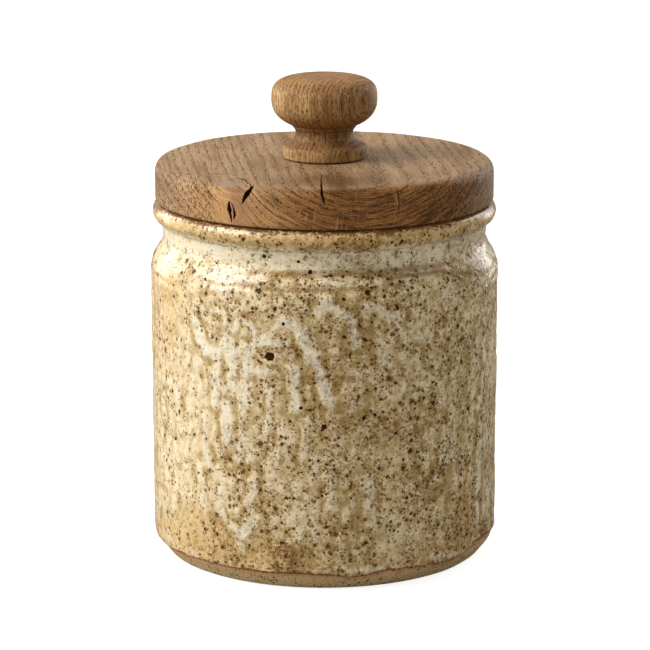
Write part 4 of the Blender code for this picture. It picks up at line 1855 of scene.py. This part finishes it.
@dataclass
class Studio:
    """The pale floor, the soft lights and the camera."""

    aim: tuple[float, float, float] = (0.0, 0.0, 0.085)
    camera_place: tuple[float, float, float] = (0.0, -1.0345, 0.3296)
    camera_pitch: float = 13.507
    camera_lens: float = 162.8
    camera_shift: float = 0.0009
    surround_light: tuple[float, float] = (0.58, 0.85)
    surround_mirrored: tuple[float, float] = (0.07, 0.62)
    surround_colour: Colour = (1.0, 0.955, 0.9)
    surround_mirror_colour: Colour = (1.0, 0.91, 0.78)
    floor_colour: Colour = (0.43, 0.42, 0.39)
    floor_mirror_colour: Colour = (0.24, 0.2, 0.14)
    lights: tuple[Softbox, ...] = (
        Softbox("key", -74.0, 37.0, 0.9, 0.5, 0.6, 8.35, (1.0, 0.99, 0.97)),
        Softbox("left_edge", -128.0, 12.0, 0.9, 0.3, 0.9, 2.7),
        Softbox("right_edge", 138.0, 12.0, 0.9, 0.3, 0.9, 2.5),
    )

    def build_camera(self) -> None:
        """Places the camera as the photographer stood."""
        data = bpy.data.cameras.new("camera")
        data.lens = self.camera_lens
        data.sensor_width = 36.0
        data.sensor_fit = "HORIZONTAL"
        data.shift_x = self.camera_shift
        camera = bpy.data.objects.new("camera", data)
        camera.location = self.camera_place
        camera.rotation_euler = (radians(90.0 - self.camera_pitch), 0.0, 0.0)
        bpy.context.scene.collection.objects.link(camera)
        bpy.context.scene.camera = camera

    def build_lights(self) -> None:
        """Hangs each soft light and turns it to the jar."""
        for box in self.lights:
            data = bpy.data.lights.new(box.name, "AREA")
            data.shape = "RECTANGLE"
            data.size = box.width
            data.size_y = box.height
            data.energy = box.watts
            data.color = box.colour
            light = bpy.data.objects.new(box.name, data)
            turn, rise = radians(box.angle), radians(box.elevation)
            way = Vector((sin(turn) * cos(rise), -cos(turn) * cos(rise), sin(rise)))
            light.location = Vector(self.aim) + way * box.distance
            light.rotation_euler = way.to_track_quat("Z", "Y").to_euler()
            bpy.context.scene.collection.objects.link(light)

    def build_world(self) -> None:
        """A white surround for the camera, and a dimmer one, lightest behind the jar, for the light it gives."""
        world = bpy.data.worlds.new("studio")
        world.use_nodes = True
        bpy.context.scene.world = world
        wiring = Wiring(world.node_tree)
        world.node_tree.nodes.clear()
        way = wiring.add("ShaderNodeTexCoord").outputs["Generated"]
        back = wiring.split(way)[1]
        lit = wiring.ramp(back, -0.1, 0.9, *self.surround_light)
        path = wiring.add("ShaderNodeLightPath")
        mirrored = wiring.ramp(back, -0.1, 0.9, *self.surround_mirrored)
        change = wiring.math("SUBTRACT", mirrored, lit)
        strength = wiring.math("MULTIPLY_ADD", change, path.outputs["Is Glossy Ray"], lit)
        colour = wiring.blend(path.outputs["Is Glossy Ray"], self.surround_colour, self.surround_mirror_colour)
        soft = wiring.add("ShaderNodeBackground", {"Color": colour, "Strength": strength})
        white = wiring.add("ShaderNodeBackground", {"Color": (1.0, 1.0, 1.0), "Strength": 1.0})
        seen = path.outputs["Is Camera Ray"]
        mixed = wiring.add("ShaderNodeMixShader", {0: seen, 1: soft.outputs[0], 2: white.outputs[0]})
        output = wiring.add("ShaderNodeOutputWorld", {"Surface": mixed.outputs[0]})
        output.is_active_output = True

    def build_floor(self) -> None:
        """A wide pale floor, a stage and not part of the jar."""
        mesh = bpy.data.meshes.new("floor")
        reach = 6.0
        corners = [(x * reach, y * reach, 0.0) for x, y in ((-1, -1), (1, -1), (1, 1), (-1, 1))]
        mesh.from_pydata(corners, [], [(0, 1, 2, 3)])
        material = bpy.data.materials.new("pale_floor")
        material.use_nodes = True
        wiring = Wiring(material.node_tree)
        shader = material.node_tree.nodes["Principled BSDF"]
        path = wiring.add("ShaderNodeLightPath")
        colour = wiring.blend(path.outputs["Is Glossy Ray"], self.floor_colour, self.floor_mirror_colour)
        wiring.feed(shader.inputs["Base Color"], colour)
        wiring.feed(shader.inputs["Roughness"], 0.8)
        glow = wiring.add("ShaderNodeEmission", {"Color": (1.0, 1.0, 1.0), "Strength": 0.84})
        both = wiring.add("ShaderNodeAddShader", {0: shader.outputs[0], 1: glow.outputs[0]})
        seen = path.outputs["Is Camera Ray"]
        mixed = wiring.add("ShaderNodeMixShader", {0: seen, 1: shader.outputs[0], 2: both.outputs[0]})
        wiring.feed(material.node_tree.nodes["Material Output"].inputs["Surface"], mixed.outputs[0])
        mesh.materials.append(material)
        floor = new_object("floor", mesh)

    def build(self) -> None:
        """Builds the camera, lights, surround and floor."""
        self.build_camera()
        self.build_lights()
        self.build_world()
        self.build_floor()
        scene = bpy.context.scene
        scene.view_settings.view_transform = "Standard"
        scene.view_settings.look = "None"


LID_OAK = Oak(
    name="lid_oak",
    early=tint(172, 143, 111),
    late=tint(140, 108, 75),
    end_early=tint(172, 120, 68),
    end_late=tint(84, 54, 27),
    pore=tint(50, 29, 13),
    ray=tint(184, 138, 84),
    turn=(90.0, 6.0, 0.0),
    pith=(-8.0, 184.0, 0.0),
    ring_width=2.4,
    pore_length=3.0,
    pore_spacing=0.58,
    pore_size=0.42,
    wander=3.0,
    ring_strength=(0.2, 0.22),
    roughness=0.5,
    pale=tint(206, 158, 106),
    knot=Knot(-31.8, 133.4, 6.5),
    shades=(
        WoodShade((3.0, -46.0, 142.0), (20.0, 14.0, 5.0), 0.75),
        WoodShade((-31.5, -51.5, 140.6), (6.5, 5.0, 0.8), 0.55),
        WoodShade((52.0, -30.0, 136.0), (16.0, 30.0, 8.0), 0.2),
        WoodShade((6.0, -60.0, 141.0), (7.0, 3.0, 1.2), 0.5),
    ),
    flecks=Flecks(24.0, 0.72, 1.6, (-33.0, -41.0), (22.0, 46.0), 0.85),
)

TORN_OAK = Oak(
    name="torn_oak",
    early=tint(120, 80, 46),
    late=tint(66, 42, 24),
    end_early=tint(104, 68, 38),
    end_late=tint(48, 30, 17),
    pore=tint(20, 12, 8),
    ray=tint(90, 60, 36),
    turn=(90.0, 10.0, 0.0),
    pith=(-8.0, 176.0, 0.0),
    roughness=0.8,
)

KNOB_OAK = Oak(
    name="knob_oak",
    early=tint(193, 156, 107),
    late=tint(134, 97, 56),
    end_early=tint(176, 134, 86),
    end_late=tint(130, 92, 54),
    pore=tint(62, 40, 20),
    ray=tint(190, 150, 100),
    turn=(0.0, 0.0, 24.0),
    pith=(-66.0, 8.0, 0.0),
    ring_width=1.7,
    pore_length=3.0,
    pore_spacing=0.52,
    pore_size=0.42,
    wander=0.8,
    ring_strength=(0.1, 0.2),
    roughness=0.48,
    shades=(
        # Painted shade in the waist under the bulb.
        WoodShade((0.0, 0.0, 152.0), (26.0, 26.0, 5.5), 0.7),
        WoodShade((0.0, -8.0, 145.0), (20.0, 12.0, 3.0), 0.25),
        WoodShade((6.0, -17.5, 164.5), (1.3, 4.0, 3.6), 0.5),
        WoodShade((13.4, -13.0, 165.0), (0.7, 3.0, 2.8), 0.5),
    ),
    flecks=Flecks(0.0, 0.62, 1.8, (0.0, -0.1), (-0.1, 0.0), 0.5),
)


def dress(piece: bpy.types.Object, node: Optional[str] = None) -> None:
    """Puts a finished piece on the frame.

    Args:
        piece: the piece.
        node: the CAD node that it stands for, if any.
    """
    if node:
        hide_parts(node)
    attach(piece, "root")
    LOG.info("%s: %d faces", piece.name, len(piece.data.polygons))


def main() -> None:
    """Builds the studio and the jar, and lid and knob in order."""
    logging.basicConfig(level=logging.INFO, format="%(name)s %(message)s")
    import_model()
    Studio().build()

    specks = iron_specks_group()
    grain = oak_grain_group()
    blister = IronBlister().material()

    jar_maker = GlazedJar()
    jar = jar_maker.build(Glaze().material(specks), Clay().material(specks))
    dress(jar, "stoneware_jar")
    blisters = grow("iron_blisters", jar.data.copy(), iron_blisters_tree(), {"Finish": blister})
    dress(blisters)
    dress(jar_maker.spot_meshes(jar, blister))

    lid = OakLid().build(LID_OAK.material(grain), TORN_OAK.material(grain))
    dress(lid, "oak_lid")
    knob = TurnedKnob().build(KNOB_OAK.material(grain))
    dress(knob, "oak_knob")


if __name__ == "__main__":
    main()
